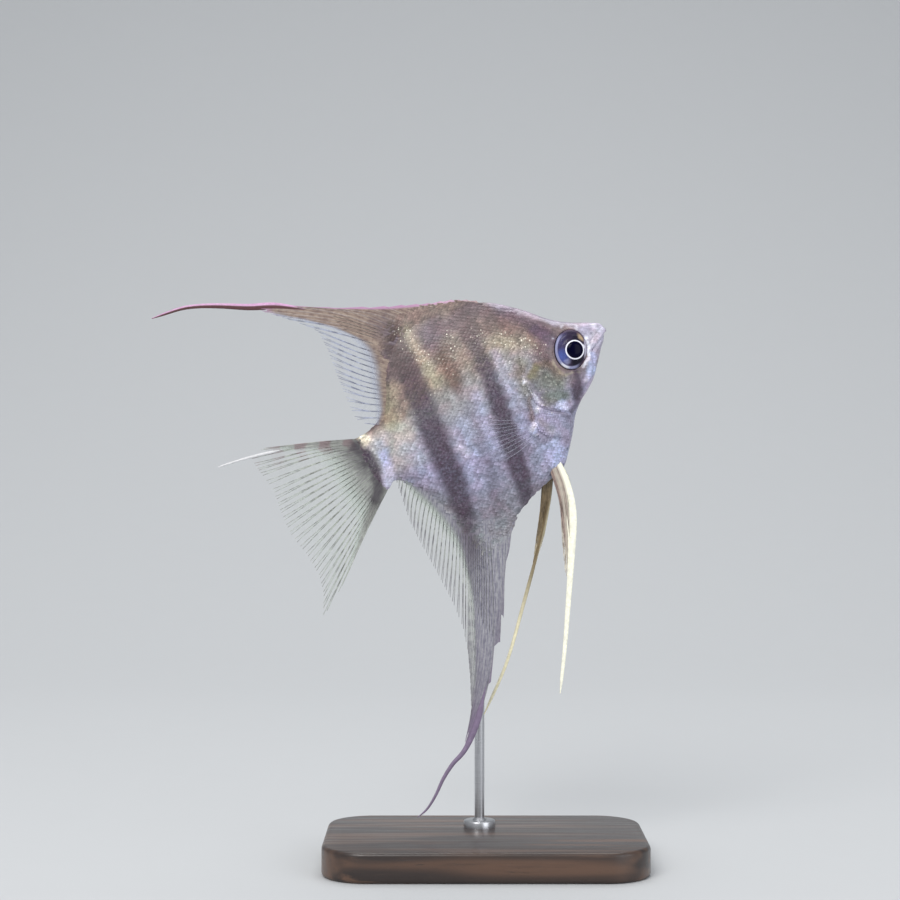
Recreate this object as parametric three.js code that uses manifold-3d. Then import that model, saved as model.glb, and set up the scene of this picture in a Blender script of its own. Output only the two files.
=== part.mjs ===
// A young freshwater angelfish at life size, as a still display model on a rod and base.
//
// Units are millimetres and +Z is up. The origin is the centre of the underside of the base.
// The fish swims towards +X with its nose raised, so its right side faces -Y.
//
// The fish is drawn in its own frame: a point is [back, up], the distance behind the tip of the
// snout and the height above the line from there to the root of the tail. One group then raises
// the nose and lifts the fish to its place above the base.

import * as THREE from "three";
import { mergeVertices } from "three/addons/utils/BufferGeometryUtils.js";
import Module from "manifold-3d";

const wasm = await Module();
wasm.setup();

// ---------------------------------------------------------------- driving dimensions

const BODY_LENGTH = 54; // from the tip of the snout to the root of the tail fin
const NOSE_UP = THREE.MathUtils.degToRad(29.4);
const SNOUT_AT = new THREE.Vector3(24.3, 0, 106.4);
const PARTING = 0.3; // clear gap between neighbouring pieces

const RING_POINTS = 20;
const STATIONS = 32;

// Outlines of the body from the side, as [back, up].
const BACK_LINE = [
  [0, 0], [0.4, 1.9], [2, 3.1], [5.5, 5.1], [8.7, 7.6], [12.9, 12.3], [17.5, 16.4], [20.5, 18],
  [27, 20], [33, 20.9], [38, 19.6], [42, 15.9], [45.1, 10.7], [47.5, 7.5], [50.8, 6.1], [54, 5.9],
];
const BELLY_LINE = [
  [0, 0], [1.5, -1.3], [4.8, -4.9], [7, -7.1], [9.1, -8.5], [11.1, -9.6], [13.5, -11.5],
  [15.8, -14.4], [18.4, -17.3], [20.6, -19.4], [24, -20.4], [28, -21.2], [33, -23], [36.5, -23.5],
  [40.2, -22.3], [43.9, -17.8], [48.1, -9.4], [51.3, -5.4], [54, -5.9],
];

// Half of the body's width, as [back, half width]. The body is a narrow disc.
const HALF_WIDTH = [
  [0, 0], [0.3, 0.75], [1.2, 1.35], [3, 2.2], [6, 3.1], [9, 3.7], [14, 4.5], [20, 4.9],
  [27, 4.8], [34, 4.1], [41, 3], [47, 2.1], [54, 1.1],
];

// How quickly a cross-section narrows towards its edges: 1 is an ellipse, more is a keel.
const KEEL = [[0, 0.8], [6, 1], [14, 1.25], [24, 1.5], [40, 1.5], [54, 1.2]];

// The eye, a flattened ball set in the side of the head.
const EYE = { back: 8, up: 0, radius: 3.6, depth: 1.8, out: 2.45, socket: 0.3, lookAhead: 0.1 };

// Where the head ends and the trunk begins, down the rear edge of the gill opening.
const GILL_EDGE = [
  [14.6, 24], [16.2, 9.5], [17.2, 4.8], [18.7, 1.5], [20.2, -1.6], [21.2, -5.6], [21.9, -9.6],
  [20.9, -12.3], [18.4, -14.1], [15.2, -14.4], [12.6, -14],
];

// The plate that covers the gills on each side.
const GILL_COVER = [
  [13.8, 2.8], [16.4, 3.6], [18.2, 0.9], [19.6, -1.9], [20.6, -5.7], [21.2, -9.5], [20.2, -11.8],
  [17.9, -13.3], [15.2, -13], [13.4, -9.8], [12.9, -3],
];
const GILL_COVER_DEPTH = 1;

// The lower jaw, from the cleft of the mouth to the corner of the chin.
const LOWER_JAW = [
  [-2, 0.4], [0.3, -0.3], [3.5, -1.9], [4.8, -3.4], [5.9, -5.2], [7.1, -6.3], [8.9, -7.3],
  [8, -10], [2, -10], [-3, -4],
];

const TAIL_STALK_FROM = 47;

// Fin plates: a rib along each ray, thinner web between the rays.
const RIB_AT_ROOT = 1.5;
const RIB_AT_TIP = 0.62;
const WEB = 0.5;
const FIN_ROWS = 4;
const WEB_SHARE = 0.96; // how far the web reaches along the shorter of its two rays
const STREAMER_SIDES = 6;
const STREAMER_STEPS = 10;

// The plain stand.
const BASE = { length: 64, width: 40, height: 6, corner: 9, bevel: 0.8 };
const ROD = { radius: 1, sides: 14, x: -1, away: 7, touchZ: 76.6, elbow: 4, steps: 6 };
const COLLAR = { radius: 3.2, height: 1.4, sides: 28 };

// ---------------------------------------------------------------- colours

const finish = (colour, roughness, metalness = 0) =>
  new THREE.MeshStandardMaterial({ color: colour, roughness, metalness });
const FINISHES = {
  head: finish(0x9a8f86, 0.4),
  flank: finish(0x9d97a3, 0.38),
  gill: finish(0xa39c92, 0.32),
  jaw: finish(0xaaa5aa, 0.4),
  eye: finish(0x16161f, 0.08),
  upperFin: finish(0x8a7468, 0.45),
  tailFin: finish(0xb9b9b0, 0.4),
  lowerFin: finish(0x8c8b9a, 0.45),
  feeler: finish(0xded9c4, 0.4),
  clearFin: finish(0xc9c9c6, 0.35),
  base: finish(0x2b2725, 0.5),
  rod: finish(0xa8a9ad, 0.3, 1),
};

// ---------------------------------------------------------------- solids and meshes

/** A closed geometry as a manifold solid. */
function solidFrom(geometry) {
  const bare = geometry.index ? geometry.toNonIndexed() : geometry.clone();
  bare.deleteAttribute("normal");
  bare.deleteAttribute("uv");
  const merged = mergeVertices(bare, 1e-4);
  return new wasm.Manifold(
    new wasm.Mesh({
      numProp: 3,
      vertProperties: merged.attributes.position.array,
      triVerts: new Uint32Array(merged.index.array),
    }),
  );
}

/** A manifold solid as a geometry. */
function geometryOf(solid) {
  const mesh = solid.getMesh();
  const places = new Float32Array(mesh.numVert * 3);
  for (let i = 0; i < mesh.numVert; i++) {
    places.set(mesh.vertProperties.subarray(i * mesh.numProp, i * mesh.numProp + 3), i * 3);
  }
  const geometry = new THREE.BufferGeometry();
  geometry.setAttribute("position", new THREE.BufferAttribute(places, 3));
  geometry.setIndex(new THREE.BufferAttribute(new Uint32Array(mesh.triVerts), 1));
  const flat = geometry.toNonIndexed();
  flat.computeVertexNormals();
  return flat;
}

/** The largest body of a solid, without the crumbs that a cut can leave. */
function largestOf(solid) {
  return solid.decompose().reduce((a, b) => (a.volume() > b.volume() ? a : b));
}

/** Closed skin over a grid of points: each row is a ring, and the first and last are capped. */
function skinOver(rows) {
  const around = rows[0].length;
  const faces = [];
  const quad = (a, b, c, d) => faces.push(a, b, c, a, c, d);
  for (let r = 0; r + 1 < rows.length; r++) {
    for (let i = 0; i < around; i++) {
      const a = r * around + i;
      const b = r * around + ((i + 1) % around);
      quad(a, a + around, b + around, b);
    }
  }
  const last = (rows.length - 1) * around;
  for (let i = 0; i + 1 < around / 2; i++) {
    const far = around - 1 - i;
    quad(i, i + 1, far - 1, far);
    quad(last + i, last + far, last + far - 1, last + i + 1);
  }
  const geometry = new THREE.BufferGeometry();
  const places = rows.flat().flatMap((p) => [p.x, p.y, p.z]);
  geometry.setAttribute("position", new THREE.Float32BufferAttribute(places, 3));
  geometry.setIndex(faces);
  return geometry;
}

/** The solid inside that skin, whichever way round its rings were given. */
function solidOver(rows) {
  const solid = solidFrom(skinOver(rows));
  return solid.volume() > 0 ? solid : solidFrom(skinOver([...rows].reverse()));
}

/** A value along the body, as a smooth curve through [back, value] pairs. */
function along(pairs) {
  const through = pairs.map(([back, value]) => new THREE.Vector3(back, value, 0));
  const curve = new THREE.CatmullRomCurve3(through, false, "centripetal").getPoints(400);
  return (back) => {
    const next = Math.max(1, curve.findIndex((p) => p.x >= back));
    const [a, b] = [curve[next - 1], curve[next]];
    const share = THREE.MathUtils.clamp((back - a.x) / (b.x - a.x), 0, 1);
    return THREE.MathUtils.lerp(a.y, b.y, share);
  };
}

/** A block through the whole fish, with this outline of [back, up] points from the side. */
function blockFrom(outline, shift = [0, 0]) {
  const deep = 40;
  const shape = new THREE.Shape(
    outline.map(([back, up]) => new THREE.Vector2(-(back + shift[0]), up + shift[1])),
  );
  const geometry = new THREE.ExtrudeGeometry(shape, { depth: deep, bevelEnabled: false });
  geometry.rotateX(Math.PI / 2);
  geometry.translate(0, deep / 2, 0);
  return solidFrom(geometry);
}

/** A block over everything between two distances behind the snout. */
function slice(from, to) {
  return blockFrom([[from, -60], [to, -60], [to, 60], [from, 60]]);
}

// ---------------------------------------------------------------- the body

const backAt = along(BACK_LINE);
const bellyAt = along(BELLY_LINE);
const halfWidthAt = along(HALF_WIDTH);
const keelAt = along(KEEL);

/** The body whole, its outline grown by `grow` and its flanks moved out by `widen`. */
function flesh(grow = 0, widen = grow) {
  const rows = [];
  for (let s = 0; s <= STATIONS; s++) {
    const share = s / STATIONS;
    const eased = share < 0.12 ? share * share / 0.12 : share;
    const back = eased * BODY_LENGTH;
    const tip = s === 0 ? 0.02 : 0;
    const wide = Math.max(halfWidthAt(back) + widen, 0.03) + tip;
    const top = backAt(back) + grow + tip;
    const bottom = bellyAt(back) - grow - tip;
    const row = [];
    for (let i = 0; i < RING_POINTS; i++) {
      const turn = (i / RING_POINTS) * 2 * Math.PI;
      const side = Math.sign(Math.cos(turn)) * Math.abs(Math.cos(turn)) ** keelAt(back);
      const rise = Math.sin(turn);
      const x = -back + (s === 0 ? grow : 0) - (s === STATIONS ? grow : 0);
      row.push(new THREE.Vector3(x, wide * side, rise * (rise > 0 ? top : -bottom)));
    }
    rows.push(row);
  }
  return solidOver(rows);
}

/** One eye's ball, turned a little ahead; `grow` makes the socket for it. */
function eyeBall(grow = 0) {
  const ball = new THREE.SphereGeometry(EYE.radius + grow, 20, 10);
  ball.rotateX(Math.PI / 2);
  ball.scale(1, (EYE.depth + grow) / (EYE.radius + grow), 1);
  ball.rotateZ(EYE.lookAhead);
  ball.translate(-EYE.back, -EYE.out, EYE.up);
  return solidFrom(ball);
}

/** The gill cover of the right side: the outer layer of the body inside its outline. */
function gillCover(body) {
  const rightHalf = blockFrom(GILL_COVER).intersect(slice(0, BODY_LENGTH).translate([0, -20, 0]));
  return largestOf(body.subtract(flesh(0, -GILL_COVER_DEPTH)).intersect(rightHalf));
}

/** The recess that both gill covers lie in, with a clear gap round them. */
function gillRecess() {
  const centre = GILL_COVER.reduce((sum, p) => [sum[0] + p[0], sum[1] + p[1]], [0, 0]);
  const [cx, cy] = centre.map((v) => v / GILL_COVER.length);
  const wider = GILL_COVER.map(([back, up]) => {
    const reach = Math.hypot(back - cx, up - cy);
    return [back + ((back - cx) / reach) * PARTING, up + ((up - cy) / reach) * PARTING];
  });
  return blockFrom(wider).subtract(flesh(0, -GILL_COVER_DEPTH - PARTING));
}

/** Head, lower jaw, gill covers, trunk and tail stalk, parted by thin cuts. */
function bodyPieces() {
  const body = flesh();
  const front = [[-20, 24], ...GILL_EDGE, [10, -26], [-20, -26]];
  const headBlock = blockFrom(front);
  const trunkFront = blockFrom(front, [PARTING, -PARTING]);
  const jawBlock = blockFrom(LOWER_JAW);
  const jawRoom = blockFrom(LOWER_JAW, [PARTING * 0.7, PARTING * 0.9]).add(jawBlock);
  const eye = eyeBall();
  const socket = eyeBall(EYE.socket);
  const cover = gillCover(body.intersect(headBlock));
  const head = body
    .intersect(headBlock)
    .subtract(gillRecess())
    .subtract(jawRoom)
    .subtract(socket)
    .subtract(socket.mirror([0, 1, 0]));
  return {
    head: largestOf(head),
    lower_jaw: largestOf(body.intersect(jawBlock)),
    gill_cover_right: cover,
    gill_cover_left: cover.mirror([0, 1, 0]),
    eye_right: eye,
    eye_left: eye.mirror([0, 1, 0]),
    trunk: largestOf(body.subtract(trunkFront).intersect(slice(0, TAIL_STALK_FROM))),
    tail_stalk: largestOf(body.intersect(slice(TAIL_STALK_FROM + PARTING, BODY_LENGTH + 5))),
  };
}

// ---------------------------------------------------------------- the fins

/**
 * A guide ray of a fin, as [back, up] or [back, up, out] points from its root to its tip.
 * `steps` counts the rays from this one to the next guide.
 */
const ray = (points, steps = 1) => ({ points, steps });

/** A free thread that runs on from a fin, `wide` and `thick` at its start and at its end. */
const streamer = (points, wide, thick) => ({ points, wide, thick });

const DORSAL_RAYS = [
  ray([[20.2, 16.4], [21.4, 19.2]], 2),
  ray([[22.6, 17], [24, 20.7]]),
  ray([[24.2, 17.6], [26, 21.5]]),
  ray([[25.9, 18], [28.4, 22.4]]),
  ray([[27.6, 18.5], [30.5, 23.4]]),
  ray([[29.2, 18.8], [33.2, 24.7]]),
  ray([[30.6, 19], [36.4, 26.2]]),
  ray([[31.8, 19], [35.8, 23.8], [40.2, 28.2]]),
  ray([[33, 18.8], [39.2, 26], [46.6, 31.7]]),
  ray([[34.2, 18.6], [42.5, 28.2], [52, 35.1]]),
  ray([[35.2, 18.4], [46, 30.2], [58.8, 39.4]]),
  ray([[36.2, 18], [46.4, 28.6], [58, 37.2]]),
  ray([[37.2, 17.4], [46, 26.6], [54.8, 33.8]]),
  ray([[38.2, 16.7], [45.4, 24.4], [52.3, 31, -0.1]]),
  ray([[39.3, 15.7], [45, 21.8], [50.3, 28.4, -0.2]], 2),
  ray([[41.2, 13.4], [45.8, 18.2], [50.4, 24.2, -0.4]], 2),
  ray([[42.8, 11], [47, 14.8], [51.2, 19.8, -0.6]], 2),
  ray([[44, 9], [48.2, 12], [51.7, 15.8, -0.5]], 2),
  ray([[45.4, 7.2], [49, 9.2], [52.2, 11.6, -0.3]]),
  ray([[46.4, 6], [49.4, 7.9], [52.3, 9.4, -0.2]]),
  ray([[47.8, 5.2], [51.2, 7.7]]),
];
const DORSAL_STREAMERS = [
  streamer([[50, 33], [55, 36.5], [60.1, 39.3], [64.2, 41.9], [68.1, 44.1], [71.4, 45.5],
    [75.1, 46.3], [78, 46.8]], [2.2, 0.55], [0.95, 0.5]),
];

const TAIL_RAYS = [
  ray([[52, 4.6], [61, 8.9], [71.2, 13.2, 0.3]]),
  ray([[52, 4.2], [62.5, 8.9], [74.2, 12.9, 0.4]]),
  ray([[52, 3.8], [62.5, 8], [74.4, 11.2, 0.3]]),
  ray([[52, 3.2], [62.5, 6.6], [74.1, 9, 0.1]], 2),
  ray([[52, 2], [62.5, 3.8], [73.7, 4.8, -0.3]], 2),
  ray([[52, 0.5], [63, 0.7], [74.5, 0.6, -0.6]], 2),
  ray([[52, -1], [63, -2.6], [75, -4.2, -0.4]], 2),
  ray([[52, -2.5], [63, -6], [74.1, -9.6]], 2),
  ray([[52, -3.7], [63, -9.2], [74, -14.6, 0.4]]),
  ray([[52, -4.1], [63, -10.6], [75, -18, 0.6]]),
  ray([[52, -4.5], [63, -11.9], [77.4, -22, 0.8]]),
  ray([[52, -4.9], [61, -11], [71, -18.4, 0.5]]),
];
const TAIL_STREAMERS = [
  streamer([[70, 11.9, 0.3], [74.2, 12.9, 0.4], [77.6, 13.7, 0.5], [81, 14.4, 0.6]],
    [0.8, 0.5], [0.7, 0.5]),
];

const ANAL_RAYS = [
  ray([[32, -21], [35, -24.6]]),
  ray([[33.2, -21.2], [38.7, -28.9]]),
  ray([[34.4, -21.4], [38.6, -27.8], [42.7, -34]]),
  ray([[35.6, -21.4], [40.4, -30], [46.1, -39.9]]),
  ray([[36.8, -21.2], [42.2, -32], [49.1, -43.8]]),
  ray([[37.8, -20.8], [44.2, -33.8], [54.6, -49.8]]),
  ray([[38.6, -20.4], [46.4, -36.2], [55.4, -50.1], [66.2, -59.5]]),
  ray([[39.4, -19.8], [47.6, -35.6], [56, -48.6], [64.8, -57.5, -0.2]]),
  ray([[40.1, -19], [48, -33.4], [61.2, -53.6]]),
  ray([[40.8, -18.1], [48.2, -31.4], [58, -47.5, 0.3]]),
  ray([[41.4, -17.1], [48.4, -29.6], [55.6, -42.3, 0.4]]),
  ray([[42, -16], [47.8, -26.4], [54, -37.3, 0.5]]),
  ray([[42.6, -14.8], [47.8, -23.8], [53.4, -32.3, 0.6]], 2),
  ray([[43.7, -12.4], [48.6, -19.4], [53.2, -25.8, 0.5]], 2),
  ray([[45, -9.9], [49.4, -14.8], [53.2, -19.8, 0.3]], 2),
  ray([[46.6, -6.9], [50.4, -10.4], [53, -14.2, 0.1]], 2),
  ray([[48.6, -4.2], [51.9, -8.2]]),
  ray([[50, -3], [51.4, -5.9]]),
];
const ANAL_STREAMERS = [
  streamer([[58, -52.6], [62, -56.4], [66.2, -59.3], [69.2, -60.3], [72.4, -62], [75.6, -64.3],
    [78.5, -65.8], [80.7, -66.2]], [1.6, 0.5], [0.8, 0.5]),
];

const PELVIC_RAYS = [
  ray([[20.9, -18, 0.7], [21.3, -22.6, 1.4], [24.4, -30, 2]]),
  ray([[21.7, -18, 0.8], [22.6, -23.4, 1.6], [26.4, -31.8, 2.3], [31.3, -39.9, 3.1]]),
  ray([[22.8, -18.2, 0.8], [24.4, -24.6, 1.8], [27.5, -31.8, 2.4], [30.9, -37.6, 2.9]]),
  ray([[24, -18.4, 0.7], [25.4, -24.5, 1.7], [29, -32.6, 2.4]]),
];
const PELVIC_STREAMERS = [
  streamer([[27.4, -33.4, 2.4], [32.2, -41.5, 3.2], [38.2, -50.4, 4], [43.6, -58, 4.5]],
    [1.1, 0.55], [0.7, 0.55]),
];

const LEFT_PELVIC_RAYS = [
  ray([[22.4, -18.2, 0.7], [26, -23.6, 1.5], [31, -29.8, 2.2]]),
  ray([[23.2, -18.2, 0.8], [27.4, -24.7, 1.8], [33.8, -32, 2.5], [38.4, -37.1, 2.9]]),
  ray([[24.1, -18.4, 0.8], [28.2, -24.8, 1.8], [35.8, -33.7, 2.6]]),
  ray([[25, -18.6, 0.7], [28.8, -24.4, 1.6], [32.6, -29.4, 2.2]]),
];
const LEFT_PELVIC_STREAMERS = [
  streamer([[35, -33.1, 2.6], [41.4, -39.8, 3.2], [50.3, -48.6, 3.8], [59.2, -55.3, 4.2]],
    [1, 0.55], [0.7, 0.55]),
];

const PECTORAL_RAYS = [
  ray([[20.6, -8.2, 3.2], [27, -5.4, 5.2], [32.6, -1.6, 6.6]], 2),
  ray([[21, -9.2, 3.2], [28, -7.3, 5.6], [34.6, -5, 7.5]], 2),
  ray([[21.3, -10.2, 3.1], [28, -9.8, 5.6], [34.4, -9, 7.9]], 2),
  ray([[21.5, -11.1, 3], [26.6, -12.2, 5.2], [31.6, -12.6, 7.2]]),
];

const FISH_SIDE = new THREE.Vector3(0, 1, 0);

/** A smooth line through [back, up, out] points; `out` is towards the right of the fish. */
function lineThrough(points) {
  const places = points.map(([back, up, out = 0]) => new THREE.Vector3(-back, -out, up));
  return new THREE.CatmullRomCurve3(places, false, "centripetal");
}

/** Every ray of a fin as a row of points, those between two guides drawn from one to the other. */
function allRays(guides) {
  const samples = 24;
  const drawn = guides.map((guide) => lineThrough(guide.points).getSpacedPoints(samples));
  const rays = [];
  guides.forEach((guide, g) => {
    const next = drawn[g + 1] ?? drawn[g];
    const count = drawn[g + 1] ? guide.steps : 1;
    for (let step = 0; step < count; step++) {
      const between = drawn[g].map((point, i) => point.clone().lerp(next[i], step / count));
      rays.push(new THREE.CatmullRomCurve3(between));
    }
  });
  return rays;
}

/** Grid of a fin's middle surface: a column for each ray and one for the web after it. */
function finColumns(guides, thin) {
  const rays = allRays(guides);
  const columns = [];
  rays.forEach((curve, i) => {
    const rib = [];
    const web = [];
    const next = rays[i + 1];
    const short = next ? Math.min(curve.getLength(), next.getLength()) * WEB_SHARE : 0;
    for (let row = 0; row <= FIN_ROWS; row++) {
      const share = row / FIN_ROWS;
      const taper = THREE.MathUtils.lerp(RIB_AT_ROOT * thin, RIB_AT_TIP, Math.sqrt(share));
      rib.push({ at: curve.getPointAt(share), thick: taper });
      if (next) {
        const here = curve.getPointAt(share * (short / curve.getLength()));
        const there = next.getPointAt(share * (short / next.getLength()));
        const thick = THREE.MathUtils.lerp(taper * 0.8, WEB, Math.sqrt(share));
        web.push({ at: here.lerp(there, 0.5), thick: Math.max(WEB, thick) });
      }
    }
    columns.push(rib);
    if (next) columns.push(web);
  });
  return columns;
}

/** A fin as one closed plate that faces along `facing`. */
function finPlate(guides, { thin = 1, facing = FISH_SIDE } = {}) {
  const columns = finColumns(guides, thin);
  const rows = [];
  for (let row = 0; row <= FIN_ROWS; row++) {
    const sheet = (sign) =>
      columns.map((c) => c[row].at.clone().addScaledVector(facing, (sign * c[row].thick) / 2));
    rows.push([...sheet(1), ...sheet(-1).reverse()]);
  }
  return solidOver(rows);
}

/** A tapering thread with an oval section, wide in the plane of the fin. */
function streamerSolid({ points, wide, thick }) {
  const line = lineThrough(points);
  const rings = [];
  for (let step = 0; step <= STREAMER_STEPS; step++) {
    const share = step / STREAMER_STEPS;
    const across = line.getTangentAt(share).cross(FISH_SIDE).normalize();
    const reach = THREE.MathUtils.lerp(wide[0], wide[1], share) / 2;
    const depth = THREE.MathUtils.lerp(thick[0], thick[1], share) / 2;
    rings.push(
      Array.from({ length: STREAMER_SIDES }, (_, i) => {
        const turn = ((i + 0.5) / STREAMER_SIDES) * 2 * Math.PI;
        return line
          .getPointAt(share)
          .addScaledVector(across, reach * Math.cos(turn))
          .addScaledVector(FISH_SIDE, depth * Math.sin(turn));
      }),
    );
  }
  return solidOver(rings);
}

/** The five kinds of fin, each cut to the body with a clear gap. */
function finPieces() {
  const room = flesh(PARTING);
  const fin = (guides, streamers, options) => {
    const whole = streamers.reduce(
      (plate, one) => plate.add(streamerSolid(one)),
      finPlate(guides, options),
    );
    return largestOf(whole.subtract(room));
  };
  const splay = { thin: 0.8, facing: new THREE.Vector3(-0.12, -1, -0.1).normalize() };
  const spread = { thin: 0.7, facing: new THREE.Vector3(0.34, -1, 0.2).normalize() };
  const pectoral = fin(PECTORAL_RAYS, [], spread);
  return {
    dorsal_fin: fin(DORSAL_RAYS, DORSAL_STREAMERS),
    tail_fin: fin(TAIL_RAYS, TAIL_STREAMERS),
    anal_fin: fin(ANAL_RAYS, ANAL_STREAMERS),
    pelvic_fin_right: fin(PELVIC_RAYS, PELVIC_STREAMERS, splay),
    pelvic_fin_left: fin(LEFT_PELVIC_RAYS, LEFT_PELVIC_STREAMERS, splay).mirror([0, 1, 0]),
    pectoral_fin_right: pectoral,
    pectoral_fin_left: pectoral.mirror([0, 1, 0]),
  };
}

// ---------------------------------------------------------------- the stand

/** A low plinth with round corners and a softened upper edge. */
function standBase() {
  const { length, width, height, corner, bevel } = BASE;
  const [halfLength, halfWidth] = [length / 2 - bevel, width / 2 - bevel];
  const turn = corner - bevel;
  const shape = new THREE.Shape();
  shape.moveTo(-halfLength + turn, -halfWidth);
  shape.lineTo(halfLength - turn, -halfWidth);
  shape.absarc(halfLength - turn, -halfWidth + turn, turn, -Math.PI / 2, 0);
  shape.lineTo(halfLength, halfWidth - turn);
  shape.absarc(halfLength - turn, halfWidth - turn, turn, 0, Math.PI / 2);
  shape.lineTo(-halfLength + turn, halfWidth);
  shape.absarc(-halfLength + turn, halfWidth - turn, turn, Math.PI / 2, Math.PI);
  shape.lineTo(-halfLength, -halfWidth + turn);
  shape.absarc(-halfLength + turn, -halfWidth + turn, turn, Math.PI, 1.5 * Math.PI);
  const geometry = new THREE.ExtrudeGeometry(shape, {
    depth: height - 2 * bevel,
    bevelSize: bevel,
    bevelThickness: bevel,
    bevelSegments: 2,
    curveSegments: 6,
  });
  geometry.translate(0, 0, bevel);
  return solidFrom(geometry);
}

/** The rod: straight up behind the fins from a collar, then round an elbow to the left flank. */
function standRod(bodyRoom) {
  const { radius, sides, x, away, touchZ, elbow, steps } = ROD;
  const foot = BASE.height + PARTING;
  const collar = new THREE.CylinderGeometry(COLLAR.radius, COLLAR.radius, COLLAR.height, COLLAR.sides);
  collar.rotateX(Math.PI / 2);
  collar.translate(x, away, foot + COLLAR.height / 2);
  const upright = new THREE.Vector3(x, away, touchZ - elbow);
  const corner = new THREE.Vector3(x, away, touchZ);
  const level = new THREE.Vector3(x, away - elbow, touchZ);
  const path = new THREE.CurvePath();
  path.add(new THREE.LineCurve3(new THREE.Vector3(x, away, foot), upright));
  path.add(new THREE.QuadraticBezierCurve3(upright, corner, level));
  path.add(new THREE.LineCurve3(level, new THREE.Vector3(x, 0, touchZ)));
  const rings = [];
  for (const piece of path.curves) {
    const cuts = piece.isLineCurve3 ? 1 : steps;
    for (let i = rings.length ? 1 : 0; i <= cuts; i++) {
      rings.push(ringAround(piece.getPoint(i / cuts), piece.getTangent(i / cuts), radius, sides));
    }
  }
  return largestOf(solidOver(rings).add(solidFrom(collar)).subtract(bodyRoom));
}

/** A ring of points round a path that stays in a plane of constant x. */
function ringAround(centre, way, radius, count) {
  const across = new THREE.Vector3(1, 0, 0);
  const outward = across.clone().cross(way);
  return Array.from({ length: count }, (_, i) => {
    const turn = (i / count) * 2 * Math.PI;
    return centre
      .clone()
      .addScaledVector(across, radius * Math.cos(turn))
      .addScaledVector(outward, radius * Math.sin(turn));
  });
}

// ---------------------------------------------------------------- the model

const FINISH_OF = {
  head: FINISHES.head,
  lower_jaw: FINISHES.jaw,
  gill_cover_right: FINISHES.gill,
  gill_cover_left: FINISHES.gill,
  eye_right: FINISHES.eye,
  eye_left: FINISHES.eye,
  trunk: FINISHES.flank,
  tail_stalk: FINISHES.flank,
  dorsal_fin: FINISHES.upperFin,
  tail_fin: FINISHES.tailFin,
  anal_fin: FINISHES.lowerFin,
  pelvic_fin_right: FINISHES.feeler,
  pelvic_fin_left: FINISHES.feeler,
  pectoral_fin_right: FINISHES.clearFin,
  pectoral_fin_left: FINISHES.clearFin,
  stand_base: FINISHES.base,
  stand_rod: FINISHES.rod,
};

function meshOf(name, solid) {
  const mesh = new THREE.Mesh(geometryOf(solid), FINISH_OF[name]);
  mesh.name = name;
  return mesh;
}

const fish = new THREE.Group();
for (const [name, solid] of Object.entries({ ...bodyPieces(), ...finPieces() })) {
  fish.add(meshOf(name, solid));
}
fish.rotation.y = -NOSE_UP;
fish.position.copy(SNOUT_AT);
fish.updateMatrix();

const model = new THREE.Group();
model.add(fish);
model.add(meshOf("stand_base", standBase()));
model.add(meshOf("stand_rod", standRod(flesh(PARTING).transform(fish.matrix.elements))));

export default model;
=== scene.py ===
import logging
import math
from collections.abc import Callable, Iterator
from contextlib import contextmanager
from dataclasses import dataclass, field
from enum import Enum

import bpy
import numpy as np
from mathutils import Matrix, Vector


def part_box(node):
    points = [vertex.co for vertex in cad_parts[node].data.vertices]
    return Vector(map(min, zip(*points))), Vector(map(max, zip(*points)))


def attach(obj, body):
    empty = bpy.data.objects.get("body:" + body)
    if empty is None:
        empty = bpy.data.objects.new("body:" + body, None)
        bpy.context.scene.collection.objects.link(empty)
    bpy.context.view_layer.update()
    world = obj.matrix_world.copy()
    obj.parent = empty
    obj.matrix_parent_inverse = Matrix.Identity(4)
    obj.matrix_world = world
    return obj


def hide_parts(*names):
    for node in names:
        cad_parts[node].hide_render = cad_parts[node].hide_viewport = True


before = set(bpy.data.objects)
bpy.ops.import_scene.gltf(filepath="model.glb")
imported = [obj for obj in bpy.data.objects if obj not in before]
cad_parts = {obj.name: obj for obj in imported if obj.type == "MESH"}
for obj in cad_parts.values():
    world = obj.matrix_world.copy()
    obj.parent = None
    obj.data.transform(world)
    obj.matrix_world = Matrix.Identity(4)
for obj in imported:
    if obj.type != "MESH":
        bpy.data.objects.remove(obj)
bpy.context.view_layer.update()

log = logging.getLogger("angelfish")

MM = 0.001
PATCH = 0.0028  # how far a scale's patch reaches on the map that its colours are kept on

# Unless a docstring says otherwise, places are in the fish's own frame and in millimetres: back from the
# tip of the snout, up from the body's line, and out from its middle.
Array = np.ndarray
Material = bpy.types.Material
Piece = bpy.types.Object
Points = tuple[tuple[float, ...], ...]

NOSE_UP = math.radians(29.4)  # how far the fish's nose is raised
PROFILE_STEPS = 400  # the steps that a profile's curve is worked out in
LINE_STEPS = 240  # the same for a ray, before its points are spread evenly
STROKE_STEPS = 14  # the same for each part of a stroke
ALONG = 44  # the steps that a fin's rays are drawn in
PER_RAY = 6  # the columns of a membrane from one ray to the next
SHORTEST_FORK = 5  # rays shorter than this aren't forked
FIRST_THREAD = 60  # threads are numbered from here, past every ray
SCALE_ANGLE = 38  # how sharply a scale turns before an edge shows, in degrees


class Side(Enum):
    """A flank of the fish, as the sign of its places out from the middle."""

    RIGHT = 1
    LEFT = -1

    @property
    def word(self) -> str:
        """The side's name, as piece names end."""
        return self.name.lower()


# ---- curves and profiles


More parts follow.
